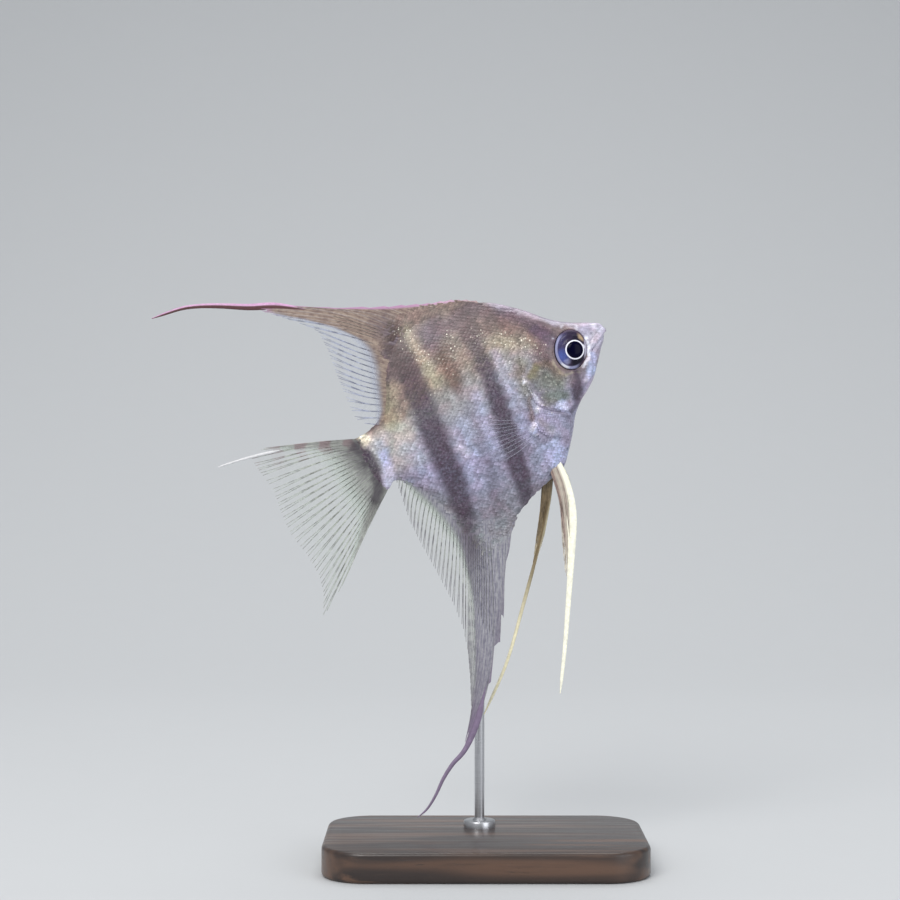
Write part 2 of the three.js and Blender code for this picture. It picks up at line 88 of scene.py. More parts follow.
def catmull_rom(points: Points | Array, samples: int) -> Array:
    """A centripetal curve through points, sampled evenly between each pair.

    Args:
        points: Two or more points of any dimension.
        samples: How many steps the whole curve is cut into.

    Returns:
        The samples + 1 points of the curve, one to a row.
    """
    through = np.asarray(points, float)
    padded = np.vstack([2 * through[0] - through[1], through, 2 * through[-1] - through[-2]])
    spans = len(through) - 1
    at = np.linspace(0, spans, samples + 1)
    first = np.minimum(at.astype(int), spans - 1)
    t = (at - first)[:, None]
    p0, p1, p2, p3 = (padded[first + k] for k in range(4))
    d0, d1, d2 = (
        np.sqrt(np.linalg.norm(b - a, axis=1, keepdims=True)) + 1e-9
        for a, b in ((p0, p1), (p1, p2), (p2, p3))
    )
    m1 = ((p1 - p0) / d0 - (p2 - p0) / (d0 + d1) + (p2 - p1) / d1) * d1
    m2 = ((p2 - p1) / d1 - (p3 - p1) / (d1 + d2) + (p3 - p2) / d2) * d1
    t2, t3 = t * t, t * t * t
    return (
        (2 * t3 - 3 * t2 + 1) * p1 + (t3 - 2 * t2 + t) * m1 + (3 * t2 - 2 * t3) * p2 + (t3 - t2) * m2
    )


def steps_along(line: Array) -> Array:
    """The length of each step of a line, or of each of several lines."""
    return np.linalg.norm(np.diff(line, axis=-2), axis=-1)


def unit(rows: Array) -> Array:
    """Each row as long as 1, in the same direction."""
    return rows / (np.linalg.norm(rows, axis=-1, keepdims=True) + 1e-12)


def spaced(points: Points | Array, samples: int) -> Array:
    """The same curve as catmull_rom, with its points at even distances along it.

    Args:
        points: Two or more points of any dimension.
        samples: How many steps the whole curve is cut into.

    Returns:
        The samples + 1 points of the curve, one to a row.
    """
    fine = catmull_rom(points, LINE_STEPS)
    run = np.concatenate([[0], np.cumsum(steps_along(fine))])
    want = np.linspace(0, run[-1], samples + 1)
    return np.stack([np.interp(want, run, column) for column in fine.T], axis=1)


def smoothstep(low: float | Array, high: float | Array, value: float | Array) -> Array:
    """0 below low, 1 above high, and an even slope between; low may be the larger."""
    t = np.clip((value - low) / (high - low), 0, 1)
    return t * t * (3 - 2 * t)


def between(grid: Array, row: Array, column: Array) -> Array:
    """Reads a grid between its points, its last column joined to its first.

    Args:
        grid: A value, or a row of them, at each row and column.
        row: The rows to read, with their fractions.
        column: The columns to read, with their fractions.

    Returns:
        The values, one for each place read.
    """
    r = np.clip(np.floor(row).astype(int), 0, len(grid) - 2)
    c = np.floor(column).astype(int)
    each = (-1,) + (1,) * (grid.ndim - 2)
    down, over = (row - r).reshape(each), (column - c).reshape(each)
    c, d = c % grid.shape[1], (c + 1) % grid.shape[1]
    here = grid[r, c] * (1 - down) + grid[r + 1, c] * down
    there = grid[r, d] * (1 - down) + grid[r + 1, d] * down
    return here * (1 - over) + there * over


def only_near(
    points: Points, reach: float, back: Array, up: Array, value: Callable[[Array, Array], Array]
) -> Array:
    """Works a value out where places are within reach of a few points, and leaves 0 elsewhere.

    Args:
        points: Rows of back and up.
        reach: How far beyond them to look.
        back: How far back the places are.
        up: How far up they are.
        value: What works it out, from the back and up of the places in reach.

    Returns:
        The value at each place.
    """
    low, high = np.min(points, axis=0) - reach, np.max(points, axis=0) + reach
    near = (back > low[0]) & (back < high[0]) & (up > low[1]) & (up < high[1])
    found = np.zeros(np.shape(back))
    if near.any():
        found[near] = value(back[near], up[near])
    return found


@dataclass(frozen=True)
class Profile:
    """A value along the body, as a smooth curve through (back, value) pairs."""

    pairs: Points

    def at(self, back: float | Array) -> Array:
        """The value at these distances back."""
        curve = catmull_rom(self.pairs, PROFILE_STEPS)
        return np.interp(back, curve[:, 0], curve[:, 1])


def wobble(back: Array, up: Array, size: float, seed: int) -> Array:
    """A smooth uneven value in about -1 to 1, for edges that aren't ruled.

    Args:
        back: How far back the places are.
        up: How far up they are.
        size: The length of its waves.
        seed: Which of many patterns it is.

    Returns:
        The value at each place.
    """
    rng = np.random.default_rng(seed)
    waves, height = 6, 1.6
    total = np.zeros(np.broadcast(back, up).shape)
    for _ in range(waves):
        turn, start = rng.uniform(0, 2 * math.pi, 2)
        rate = 2 * math.pi / (size * rng.uniform(0.6, 1.7))
        total += np.sin((back * math.cos(turn) + up * math.sin(turn)) * rate + start)
    return total / waves * height


# ---- the fish's own frame


@dataclass(frozen=True)
class FishFrame:
    """The fish's frame: back behind the snout, up from the body's line, out to its right side."""

    snout: tuple[float, float, float]
    nose_up: float = NOSE_UP

    EYE_BACK = 8.0

    @classmethod
    def from_cad(cls) -> "FishFrame":
        """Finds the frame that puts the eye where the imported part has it.

        Returns:
            The frame.
        """
        low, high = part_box("eye_right")
        eye = (low + high) / 2
        c, s = math.cos(cls.nose_up), math.sin(cls.nose_up)
        reach = cls.EYE_BACK * MM
        return cls((eye.x + c * reach, 0.0, eye.z + s * reach))

    def world(self, places: Array) -> Array:
        """Places in the row frame, in metres.

        Args:
            places: Rows of back, up and out.

        Returns:
            Rows of x, y and z.
        """
        back, up, out = (places[..., k] * MM for k in range(3))
        c, s = math.cos(self.nose_up), math.sin(self.nose_up)
        x, _, z = self.snout
        return np.stack([x - c * back - s * up, -out, z - s * back + c * up], axis=-1)


# ---- meshes


def deselect() -> None:
    """Leaves nothing selected, so that an operator acts only on what is chosen next."""
    if bpy.context.mode != "OBJECT":
        bpy.ops.object.mode_set(mode="OBJECT")
    bpy.ops.object.select_all(action="DESELECT")


def choose(piece: Piece) -> None:
    """Selects one piece alone, and makes it the active one.

    Args:
        piece: The piece.
    """
    deselect()
    bpy.context.view_layer.objects.active = piece
    piece.select_set(True)


@contextmanager
def editing(select: str = "") -> Iterator[None]:
    """Edit mode on the active piece, for as long as the block runs.

    Args:
        select: SELECT or DESELECT to start with all or nothing selected, or empty to start as it is.
    """
    bpy.ops.object.mode_set(mode="EDIT")
    if select:
        bpy.ops.mesh.select_all(action=select)
    yield
    bpy.ops.object.mode_set(mode="OBJECT")


def rise(by: float) -> None:
    """Extrudes the selected faces or edges straight up."""
    bpy.ops.mesh.extrude_region_move(TRANSFORM_OT_translate={"value": (0, 0, by)})


def choose_edges(piece: Piece, test: Callable[[Vector, Vector], bool]) -> None:
    """Selects the edges of the active piece whose two ends pass a test, and no others.

    Args:
        piece: The piece.
        test: Takes an edge's two ends and says whether to select it.
    """
    with editing():
        bpy.ops.mesh.select_mode(type="EDGE")
        bpy.ops.mesh.select_all(action="DESELECT")
    for edge in piece.data.edges:
        edge.select = test(*(piece.data.vertices[v].co for v in edge.vertices))


def all_outwards() -> None:
    """Turns every face of the piece in edit mode outwards."""
    bpy.ops.mesh.select_all(action="SELECT")
    bpy.ops.mesh.normals_make_consistent(inside=False)


def named(name: str) -> Piece:
    """Names the piece that an operator has just added, and moves its place and scale into its mesh.

    Args:
        name: Its name.

    Returns:
        The piece.
    """
    piece = bpy.context.active_object
    piece.name = piece.data.name = name
    bpy.ops.object.transform_apply(location=True, rotation=False, scale=True)
    return piece


def places_of(piece: Piece) -> Array:
    """Reads the places of a piece's vertices.

    Args:
        piece: The piece.

    Returns:
        The places, one to a row.
    """
    co = np.zeros(len(piece.data.vertices) * 3)
    piece.data.vertices.foreach_get("co", co)
    return co.reshape(-1, 3)


def move_to(piece: Piece, places: Array) -> None:
    """Puts a piece's vertices at these places."""
    piece.data.vertices.foreach_set("co", np.ascontiguousarray(places, np.float32).ravel())
    piece.data.update()


def corners_of(mesh: bpy.types.Mesh) -> Array:
    """Reads a mesh's faces.

    Args:
        mesh: The mesh.

    Returns:
        The vertex that each corner of each face is at.
    """
    corners = np.zeros(len(mesh.loops), np.int64)
    mesh.loops.foreach_get("vertex_index", corners)
    return corners


def set_values(piece: Piece, values: dict[str, Array]) -> None:
    """Keeps a number for each vertex under each of these names.

    Args:
        piece: The piece.
        values: The numbers by name.
    """
    for name, numbers in values.items():
        kept = piece.data.attributes.new(name, "FLOAT", "POINT")
        kept.data.foreach_set("value", np.ascontiguousarray(numbers, np.float32))


def set_map(piece: Piece, name: str, at: Array) -> None:
    """Adds a UV map that gives each vertex one place, in every face that it is in."""
    layer = piece.data.uv_layers.new(name=name)
    layer.data.foreach_set("uv", np.ascontiguousarray(at[corners_of(piece.data)], np.float32).ravel())


def smooth_faces(piece: Piece, angle: float) -> None:
    """Shades a piece smooth, with an edge wherever it turns sharply.

    Args:
        piece: The piece.
        angle: How sharply that is, in degrees.
    """
    choose(piece)
    bpy.ops.object.shade_smooth_by_angle(angle=math.radians(angle))
    deselect()


def turn_inside_out(piece: Piece) -> None:
    """Reverses every face of a piece that has been mirrored.

    Args:
        piece: The piece.
    """
    choose(piece)
    with editing("SELECT"):
        bpy.ops.mesh.flip_normals()


def face_outwards(piece: Piece) -> None:
    """Turns the faces of a closed piece outwards, if its volume shows that they point inwards.

    Args:
        piece: The piece.
    """
    mesh = piece.data
    mesh.calc_loop_triangles()
    corners = np.zeros(len(mesh.loop_triangles) * 3, np.int64)
    mesh.loop_triangles.foreach_get("vertices", corners)
    a, b, c = (places_of(piece)[corners.reshape(-1, 3)[:, k]] for k in range(3))
    if np.einsum("ij,ij->", a, np.cross(b, c)) < 0:
        turn_inside_out(piece)


def dress(piece: Piece, angle: float, material: Material, slot: str, *nodes: str) -> None:
    """Finishes a piece: smooth faces, its material and its body, and hides the nodes that it stands for.

    Args:
        piece: The piece.
        angle: How sharply its faces turn before an edge shows, in degrees.
        material: Its finish.
        slot: The material slot that it is part of; not used.
        nodes: The solids that it replaces.
    """
    smooth_faces(piece, angle)
    piece.data.materials.clear()
    piece.data.materials.append(material)
    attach(piece, "root")
    if nodes:
        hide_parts(*nodes)
    log.info("%s: %d faces", piece.name, len(piece.data.polygons))


@dataclass
class Pattern:
    """A small mesh that is modelled once, as plain numbers to make copies of."""

    places: Array
    corners: Array
    counts: Array

    @classmethod
    def of(cls, piece: Piece) -> "Pattern":
        """Takes the mesh of a piece, and removes the piece.

        Args:
            piece: The piece.

        Returns:
            The pattern.
        """
        counts = np.array([len(face.vertices) for face in piece.data.polygons], np.int64)
        made = cls(places_of(piece), corners_of(piece.data), counts)
        bpy.data.objects.remove(piece)
        return made


@dataclass
class Gathering:
    """Copies of a pattern, each with its own places, collected to become one mesh."""

    pattern: Pattern
    copies: list[Array] = field(default_factory=list)
    values: dict[str, list[Array]] = field(default_factory=dict)
    maps: dict[str, list[Array]] = field(default_factory=dict)

    def add(self, places: Array, values: dict[str, Array], maps: dict[str, Array] | None = None) -> None:
        """Adds one copy or a block of them.

        Args:
            places: The vertices in the row frame, as (copies, vertices, 3).
            values: Numbers for each vertex, as (copies, vertices), by name.
            maps: Places on each UV map, as (copies, vertices, 2), by name.
        """
        self.copies.append(places.reshape(-1, 3))
        for name, numbers in values.items():
            self.values.setdefault(name, []).append(numbers.ravel())
        for name, at in (maps or {}).items():
            self.maps.setdefault(name, []).append(at.reshape(-1, 2))

    def piece(self, name: str) -> Piece:
        """Makes one piece of all the copies.

        Args:
            name: Its name.

        Returns:
            The piece.
        """
        places = np.concatenate(self.copies)
        each = len(self.pattern.places)
        shift = np.arange(len(places) // each)[:, None] * each
        corners = (self.pattern.corners[None, :] + shift).ravel()
        counts = np.tile(self.pattern.counts, len(shift))
        mesh = bpy.data.meshes.new(name)
        mesh.vertices.add(len(places))
        mesh.vertices.foreach_set("co", places.astype(np.float32).ravel())
        mesh.loops.add(len(corners))
        mesh.loops.foreach_set("vertex_index", corners.astype(np.int32))
        mesh.polygons.add(len(counts))
        starts = np.concatenate([[0], np.cumsum(counts)[:-1]])
        mesh.polygons.foreach_set("loop_start", starts.astype(np.int32))
        mesh.update(calc_edges=True)
        mesh.validate()
        piece = placed(name, mesh)
        for key, parts in self.maps.items():
            set_map(piece, key, np.concatenate(parts))
        set_values(piece, {key: np.concatenate(parts) for key, parts in self.values.items()})
        return piece


def placed(name: str, data: bpy.types.ID, at: tuple[float, float, float] = (0, 0, 0)) -> bpy.types.Object:
    """Puts a mesh, a lamp or a camera in the scene.

    Args:
        name: Its name.
        data: Its mesh, lamp or camera.
        at: Its place, in metres.

    Returns:
        What it has become in the scene.
    """
    thing = bpy.data.objects.new(name, data)
    bpy.context.scene.collection.objects.link(thing)
    thing.location = at
    return thing


# ---- markings


@dataclass(frozen=True)
class Stroke:
    """A soft line on the side of the fish, drawn through points of back and up."""

    points: Points
    width: float
    strength: float = 1.0
    soft: float = 0.5

    def far(self, back: Array, up: Array) -> tuple[Array, Array]:
        """How far places are from the line, and on which side of it.

        Args:
            back: How far back the places are.
            up: How far up they are.

        Returns:
            The distances, and 1 or -1 for the side.
        """
        if len(self.points) == 1:
            centre = self.points[0]
            return np.hypot(back - centre[0], up - centre[1]), np.ones_like(back)
        line = catmull_rom(self.points, STROKE_STEPS * (len(self.points) - 1))
        best = np.full(back.shape, 1e9)
        hand = np.ones(back.shape)
        for (a0, a1), (b0, b1) in zip(line[:-1], line[1:]):
            e0, e1 = b0 - a0, b1 - a1
            share = np.clip(((back - a0) * e0 + (up - a1) * e1) / (e0 * e0 + e1 * e1 + 1e-12), 0, 1)
            gap = np.hypot(back - a0 - share * e0, up - a1 - share * e1)
            nearer = gap < best
            best = np.where(nearer, gap, best)
            cross = e0 * (up - a1) - e1 * (back - a0)
            hand = np.where(nearer, np.sign(cross), hand)
        return best, hand

    def _near(self, back: Array, up: Array) -> Array:
        """How strongly the stroke shows at places near it."""
        core, reach = self.width * (1 - self.soft), self.width * (1 + self.soft)
        return self.strength * smoothstep(reach, core, self.far(back, up)[0])

    def mask(self, back: Array, up: Array) -> Array:
        """How strongly the stroke shows at places, from 0 to its strength."""
        return only_near(self.points, self.width * (1 + self.soft), back, up, self._near)


@dataclass(frozen=True)
class Bar:
    """A dark upright bar: (up, back, half width, strength) down its length."""

    course: Points
    soft: float = 0.45

    def mask(self, back: Array, up: Array) -> Array:
        """How dark the bar is at places.

        Args:
            back: How far back the places are.
            up: How far up they are.

        Returns:
            Numbers from 0 to 1.
        """
        rows = np.array(sorted(self.course))
        centre, half, strength = (np.interp(up, rows[:, 0], rows[:, k]) for k in (1, 2, 3))
        return strength * smoothstep(half + self.soft, half - self.soft, np.abs(back - centre))


MARKS = ("bar", "brown", "plum", "ash", "olive", "sage", "straw", "cream", "blue", "white", "gold")


@dataclass(frozen=True)
class Markings:
    """The pattern of the skin, the same for the skin itself, the scales and the roots of the fins.

    Each field is one of MARKS: the places that show that colour, and for gold how thickly painted glints are
    strewn. The white marks are partly pale skin and partly painted highlights.
    """

    bar: tuple[Stroke | Bar, ...] = (
        Bar((
            (19.5, 23.4, 2.0, 0.25), (17, 23.7, 2.1, 0.45), (13.5, 24.1, 2.0, 0.6), (8.9, 24.6, 1.75, 0.76),
            (3.5, 25.1, 1.75, 0.92), (-1.3, 25.9, 1.95, 1), (-5, 26.7, 2.1, 1), (-13, 28.4, 2.1, 1),
            (-17.5, 29.3, 1.9, 1), (-21, 30.2, 1.6, 0.9), (-25, 31, 1.2, 0.3),
        ), 1.25),
        Bar((
            (27, 39, 2.4, 0), (24, 38.2, 2.4, 0.4), (21.5, 37.7, 2.4, 0.86), (19, 37.7, 2.3, 1),
            (14, 38.3, 2.4, 0.9), (9.3, 38.8, 2.55, 0.84), (4.5, 39.5, 2.7, 0.86), (0, 40, 2.75, 0.92),
            (-4.5, 40.6, 2.55, 1), (-13, 41.5, 2.45, 1), (-17, 42.4, 2.15, 0.97), (-20, 43.2, 1.9, 0.9),
            (-25, 45, 1.8, 0.6), (-30, 47, 1.6, 0.1),
        ), 1.5),
        Bar((
            (21, 28.6, 1.2, 0.1), (18, 29, 1.8, 0.4), (12.5, 29.8, 1.9, 0.32), (6, 30.8, 1.8, 0.28),
            (-1, 31.5, 1.6, 0.28), (-8, 32.8, 1.4, 0.34), (-14, 34.4, 1.4, 0.42), (-20, 36.4, 1.4, 0.38),
            (-26, 38.6, 1.2, 0),
        ), 1.2),
        Stroke(((9.5, -3.9), (10.3, -6.4)), 0.62, 0.85, 0.7),
        Stroke(((10.8, -7), (11.6, -8.7)), 0.95, 1.0, 0.8),
        Stroke(((12.4, -9.6), (13.9, -10.5)), 0.6, 0.6, 0.7),
        Stroke(((55, 4.4), (54.3, 2.3), (54, -0.6), (54.4, -3), (55.4, -5.2), (56.8, -6.8)), 1.25, 1.0, 0.7),
        Stroke(((54.8, 3), (54.2, 2.1), (54.7, 0.6)), 1.4, 0.95, 0.6),
        Stroke(((56.6, 3.8), (56, 1.4), (55.7, -0.4)), 1.4, 0.6, 0.9),
    )
    brown: tuple[Stroke, ...] = (
        Stroke(((31.1, 13.4), (31.2, 9.6), (31.7, 5.8)), 1.7, 0.85, 0.8),
        Stroke(((20.3, -4.2), (21.3, -6.6), (21.9, -8.3)), 0.5, 0.6, 0.7),
        Stroke(((15.9, 0.6), (13.9, 0.1), (13, -1.4), (13, -3.2)), 0.75, 0.7, 0.8),
        Stroke(((44.2, 13), (46.2, 8.6), (47.6, 6.6)), 0.8, 0.6, 0.9),
        Stroke(((22, 13.4), (18, 9.6), (14.6, 7)), 1.6, 0.35, 0.9),
        Stroke(((10.4, -4.9), (11.6, -6.2)), 0.4, 0.4, 0.8),
    )
    plum: tuple[Stroke, ...] = (
        Stroke(((16.6, 14), (13.8, 10.4), (12.2, 8)), 1.0, 0.5, 0.8),
        Stroke(((12.2, 7.1), (11.4, 5.2), (10.9, 3.8)), 1.35, 0.9, 0.7),
        Stroke(((30.4, 16.9), (31.6, 14.8)), 1.8, 0.6, 0.8),
        Stroke(((18.5, -2.2), (18.4, -4.4), (17.4, -6.3)), 0.7, 0.55, 0.8),
        Stroke(((18.4, -6.6), (17.1, -8.9), (15.2, -10.7)), 0.42, 0.42, 0.7),
        Stroke(((19.8, 2.8), (18.6, 1.2)), 0.8, 0.35, 0.9),
        Stroke(((9.9, -4.6), (11.6, -8.8)), 1.35, 0.5, 0.8),
        Stroke(((5.6, 5.3), (9.6, 8.9)), 0.6, 0.3, 0.9),
    )
    ash: tuple[Stroke, ...] = (
        Stroke(((0, 0.4), (2.4, 1.2), (3.8, 1.9)), 2.3, 0.95, 0.5),
        Stroke(((3, 3.6), (6.4, 5.9), (9.6, 8.9), (13.2, 12.9), (16.8, 16.2)), 1.15, 0.66, 0.7),
        Stroke(((0.6, -1.3), (3.6, -2.9)), 1.3, 0.85, 0.5),
        Stroke(((0.8, -0.1), (4.3, -1.5)), 1.15, 0.9, 0.5),
        Stroke(((4.4, -5.2), (6.6, -7.1), (9.6, -8.7), (11.1, -9.8)), 0.4, 0.85, 0.6),
        Stroke(((12.5, -5.4), (13.1, -7.5), (13.6, -9.2)), 0.42, 0.7, 0.8),
        Stroke(((17, -2.6), (16.2, -3.6)), 0.9, 0.4, 0.9),
        Stroke(((13.6, -12.4), (17, -15.4)), 1.6, 0.3, 0.9),
    )
    olive: tuple[Stroke, ...] = (
        Stroke(((17.8, -0.8), (16.5, 0.2)), 1.0, 0.9, 0.7),
        Stroke(((20.3, -2.6), (19.4, 0.6), (18.2, 3)), 1.1, 0.5, 0.9),
        Stroke(((20.6, -9.4), (19.4, -12)), 0.7, 0.3, 0.7),
        Stroke(((2.3, 0.9), (3, 0)), 0.7, 0.2, 0.9),
        Stroke(((45.6, 7.6), (46.4, 4.8)), 1.2, 0.3, 0.9),
    )
    sage: tuple[Stroke, ...] = (
        Stroke(((15.9, -2.6), (14.1, -4.1)), 2.2, 0.85, 0.7),
        Stroke(((16.6, -6), (14.3, -6.9)), 1.6, 0.85, 0.7),
        Stroke(((34.6, 5.6), (33.8, 3.4)), 1.6, 0.2, 0.9),
    )
    straw: tuple[Stroke, ...] = (
        Stroke(((35.4, 19.3), (35.2, 16.2), (34.9, 12.6), (34.7, 8.2)), 1.35, 0.6, 0.9),
        Stroke(((27.8, 13.2), (28, 10.6)), 1.5, 0.24, 0.9),
        Stroke(((43.1, 10.8), (45.2, 8.1), (46.4, 4.9)), 1.5, 0.5, 0.9),
        Stroke(((20.4, 8.8), (17.6, 6.2), (14.7, 5)), 1.3, 0.34, 0.9),
        Stroke(((12.6, 0), (12.6, -2.2), (11.4, -3.8), (9.2, -4.3)), 0.24, 0.4, 0.9),
    )
    cream: tuple[Stroke, ...] = (
        Stroke(((53, 4.9),), 1.15, 1.0, 0.8),
        Stroke(((45.2, 2.8), (46.8, 0.4)), 2.0, 0.3, 0.9),
    )
    blue: tuple[Stroke, ...] = (
        Stroke(((5, -2.9), (6.1, -4.8), (7.5, -6.2)), 0.8, 0.95, 0.6),
        Stroke(((15.1, -8.8),), 0.95, 0.9, 0.8),
        Stroke(((21.2, -16.6),), 2.6, 0.9, 0.8),
        Stroke(((18, -13.2),), 2.2, 0.12, 0.8),
        Stroke(((25.2, -18),), 2.2, 0.3, 0.8),
        Stroke(((50.8, 0.5), (51.6, -2.1), (52.6, -4.5)), 1.05, 0.85, 0.9),
        Stroke(((50.5, 2.2),), 1.0, 0.25, 0.9),
        Stroke(((46.6, -0.6), (45.2, -3)), 1.6, 0.28, 0.9),
        Stroke(((22.8, -10.2), (22.2, -9.4)), 0.9, 0.7, 0.7),
        Stroke(((23.4, -6.6), (24.4, -11)), 0.8, 0.25, 0.9),
        Stroke(((34.6, -3), (35.9, -7.4), (37.4, -13.5)), 1.7, 0.3, 0.9),
        Stroke(((29.2, 1.4), (30.4, -4.2), (31.2, -9)), 1.0, 0.35, 0.9),
        Stroke(((21.7, 6.8), (22.6, 1.4), (23.6, -3.5)), 1.0, 0.22, 0.8),
        Stroke(((44, -9), (46.4, -5.6)), 1.6, 0.12, 0.9),
        Stroke(((24.2, 3.4), (22.4, -1.8)), 0.6, 0.3, 0.9),
    )
    # pale skin, and painted highlights where light catches the head's edges
    white: tuple[Stroke, ...] = (
        Stroke(((4.5, 0.5), (5, -1.4), (6.2, -2.9), (7.5, -3.9)), 0.34, 0.85, 0.8),
        # painted highlights on the cheek and on the top of the snout, this and the next
        Stroke(((8.3, -6.5),), 0.5, 0.5, 0.9),
        Stroke(((1.8, 2.2),), 0.5, 0.5, 0.9),
        Stroke(((1.2, 0.7), (3.6, -0.4)), 1.2, 0.26, 0.8),
        Stroke(((7.6, 4.9),), 0.36, 0.4, 0.9),
        Stroke(((5.1, 3.7),), 0.36, 0.4, 0.9),
        Stroke(((10.4, 3.9),), 0.14, 0.6, 0.9),
        # painted highlights on the raised edges of the gill cover, this and the next
        Stroke(((19.4, -3.8), (19.1, -5.4), (18.5, -6.7)), 0.2, 0.66, 0.8),
        Stroke(((20, -6.9),), 0.5, 0.85, 0.8),
        Stroke(((15.3, -8.5), (14.7, -9.3)), 0.5, 0.35, 0.9),
        Stroke(((51.9, -3), (52.6, -4.9)), 0.9, 0.5, 0.9),
        # painted highlight at the root of the pectoral fin
        Stroke(((22, -9), (22.7, -9.9)), 0.5, 0.85, 0.8),
        # painted highlights on the gill cover's rear edge, this and the next
        Stroke(((19.7, -0.7),), 0.42, 0.6, 0.9),
        Stroke(((19.1, 0.5),), 0.34, 0.5, 0.9),
        Stroke(((36.9, -5.9), (36.5, -7.7)), 0.8, 0.35, 0.9),
        Stroke(((0.1, -0.4), (0.9, -1.2)), 0.4, 0.4, 0.9),
    )
    # where painted glints lie: bright specks that stand for light caught by the scales
    gold: tuple[Stroke, ...] = (
        Stroke(((35.6, 20.2), (35.2, 16.4), (34.6, 12.6)), 1.5, 1.0, 0.9),
        Stroke(((27.8, 13.8),), 2.0, 0.5, 0.9),
        Stroke(((22.8, 11.2), (19, 7.6), (14.6, 3.9)), 1.7, 0.95, 0.9),
        Stroke(((30, 11), (40, 6), (46, 3)), 3.6, 0.16, 0.9),
        Stroke(((20, 3), (19.8, -3)), 1.2, 0.4, 0.9),
        Stroke(((15.5, -3), (19, -8)), 3, 0.16, 0.9),
    )

    def values(self, back: Array, up: Array) -> dict[str, Array]:
        """How strongly each mark shows at places on the fish's side.

        Args:
            back: How far back the places are.
            up: How far up they are.

        Returns:
            Numbers from 0 to 1 for each place, under the names in MARKS.
        """
        b, u = (
            straight + 0.28 * wobble(back, up, 2.6, seed) + 0.12 * wobble(back, up, 0.9, seed + 1)
            for straight, seed in ((back, 5), (up, 7))
        )
        return {name: np.max([mark.mask(b, u) for mark in getattr(self, name)], axis=0) for name in MARKS}


# ---- the body


@dataclass(frozen=True)
class EyePlace:
    """Where an eye sits: an oval that is upright in the world and looks a little ahead.

    The skin stands out by `rim` round it, with a `lid` at its edge, and lies `sunk` behind its middle.
    """

    back: float = 8.3
    up: float = 0.25
    out: float = 2.45
    wide: float = 3.25
    tall: float = 4.0
    depth: float = 1.75
    ahead: float = 0.12
    upright: float = NOSE_UP
    rim: float = 0.28
    lid: float = 0.05
    sunk: float = 0.5

    def plane(self, back: Array) -> Array:
        """How far out the eye's own flat middle lies, which leans forwards."""
        return self.out + math.tan(self.ahead) * (back - self.back)

    def far(self, back: Array, up: Array) -> Array:
        """How far places are from the eye's middle.

        Args:
            back: How far back the places are.
            up: How far up they are.

        Returns:
            The distances, in parts of the way to the eye's edge.
        """
        c, s = math.cos(self.upright), math.sin(self.upright)
        b, u = back - self.back, up - self.up
        return np.hypot((c * b + s * u) / self.wide, (c * u - s * b) / self.tall)


@dataclass(frozen=True)
class Fold:
    """A raised or sunken line of the skin: its height, negative for a groove."""

    stroke: Stroke
    height: float

    def _near(self, back: Array, up: Array) -> Array:
        """The relief at places near the fold."""
        return self.height * np.exp(-((self.stroke.far(back, up)[0] / self.stroke.width) ** 2))

    def relief(self, back: Array, up: Array) -> Array:
        """How far the skin stands out at places."""
        return only_near(self.stroke.points, self.stroke.width * 3.2, back, up, self._near)


def fold(height: float, width: float, *points: tuple[float, float]) -> Fold:
    """A fold through points."""
    return Fold(Stroke(points, width), height)


@dataclass(frozen=True)
class Plate:
    """A bony plate under the skin with a free rear edge: raised before it, dropping behind."""

    edge: Points
    rise: float
    ramp: float
    drop: float
    groove: float = 0.34

    def _near(self, back: Array, up: Array) -> Array:
        """The relief at places near the plate's edge.

        Args:
            back: How far back the places are.
            up: How far up they are.

        Returns:
            How far the skin stands out.
        """
        gap, hand = Stroke(self.edge, 1.0).far(back, up)
        ends = np.minimum(*(np.hypot(back - p[0], up - p[1]) for p in (self.edge[0], self.edge[-1])))
        inside = self.rise * np.exp(-((gap / self.ramp) ** 1.3) * 3) * smoothstep(-0.02, 0.14, gap)
        behind = -self.drop * np.exp(-((gap / self.groove) ** 2))
        return smoothstep(0.0, 2.0, ends) * np.where(hand < 0, inside, behind)

    def relief(self, back: Array, up: Array) -> Array:
        """How far the skin stands out at places."""
        return only_near(self.edge, self.ramp, back, up, self._near)


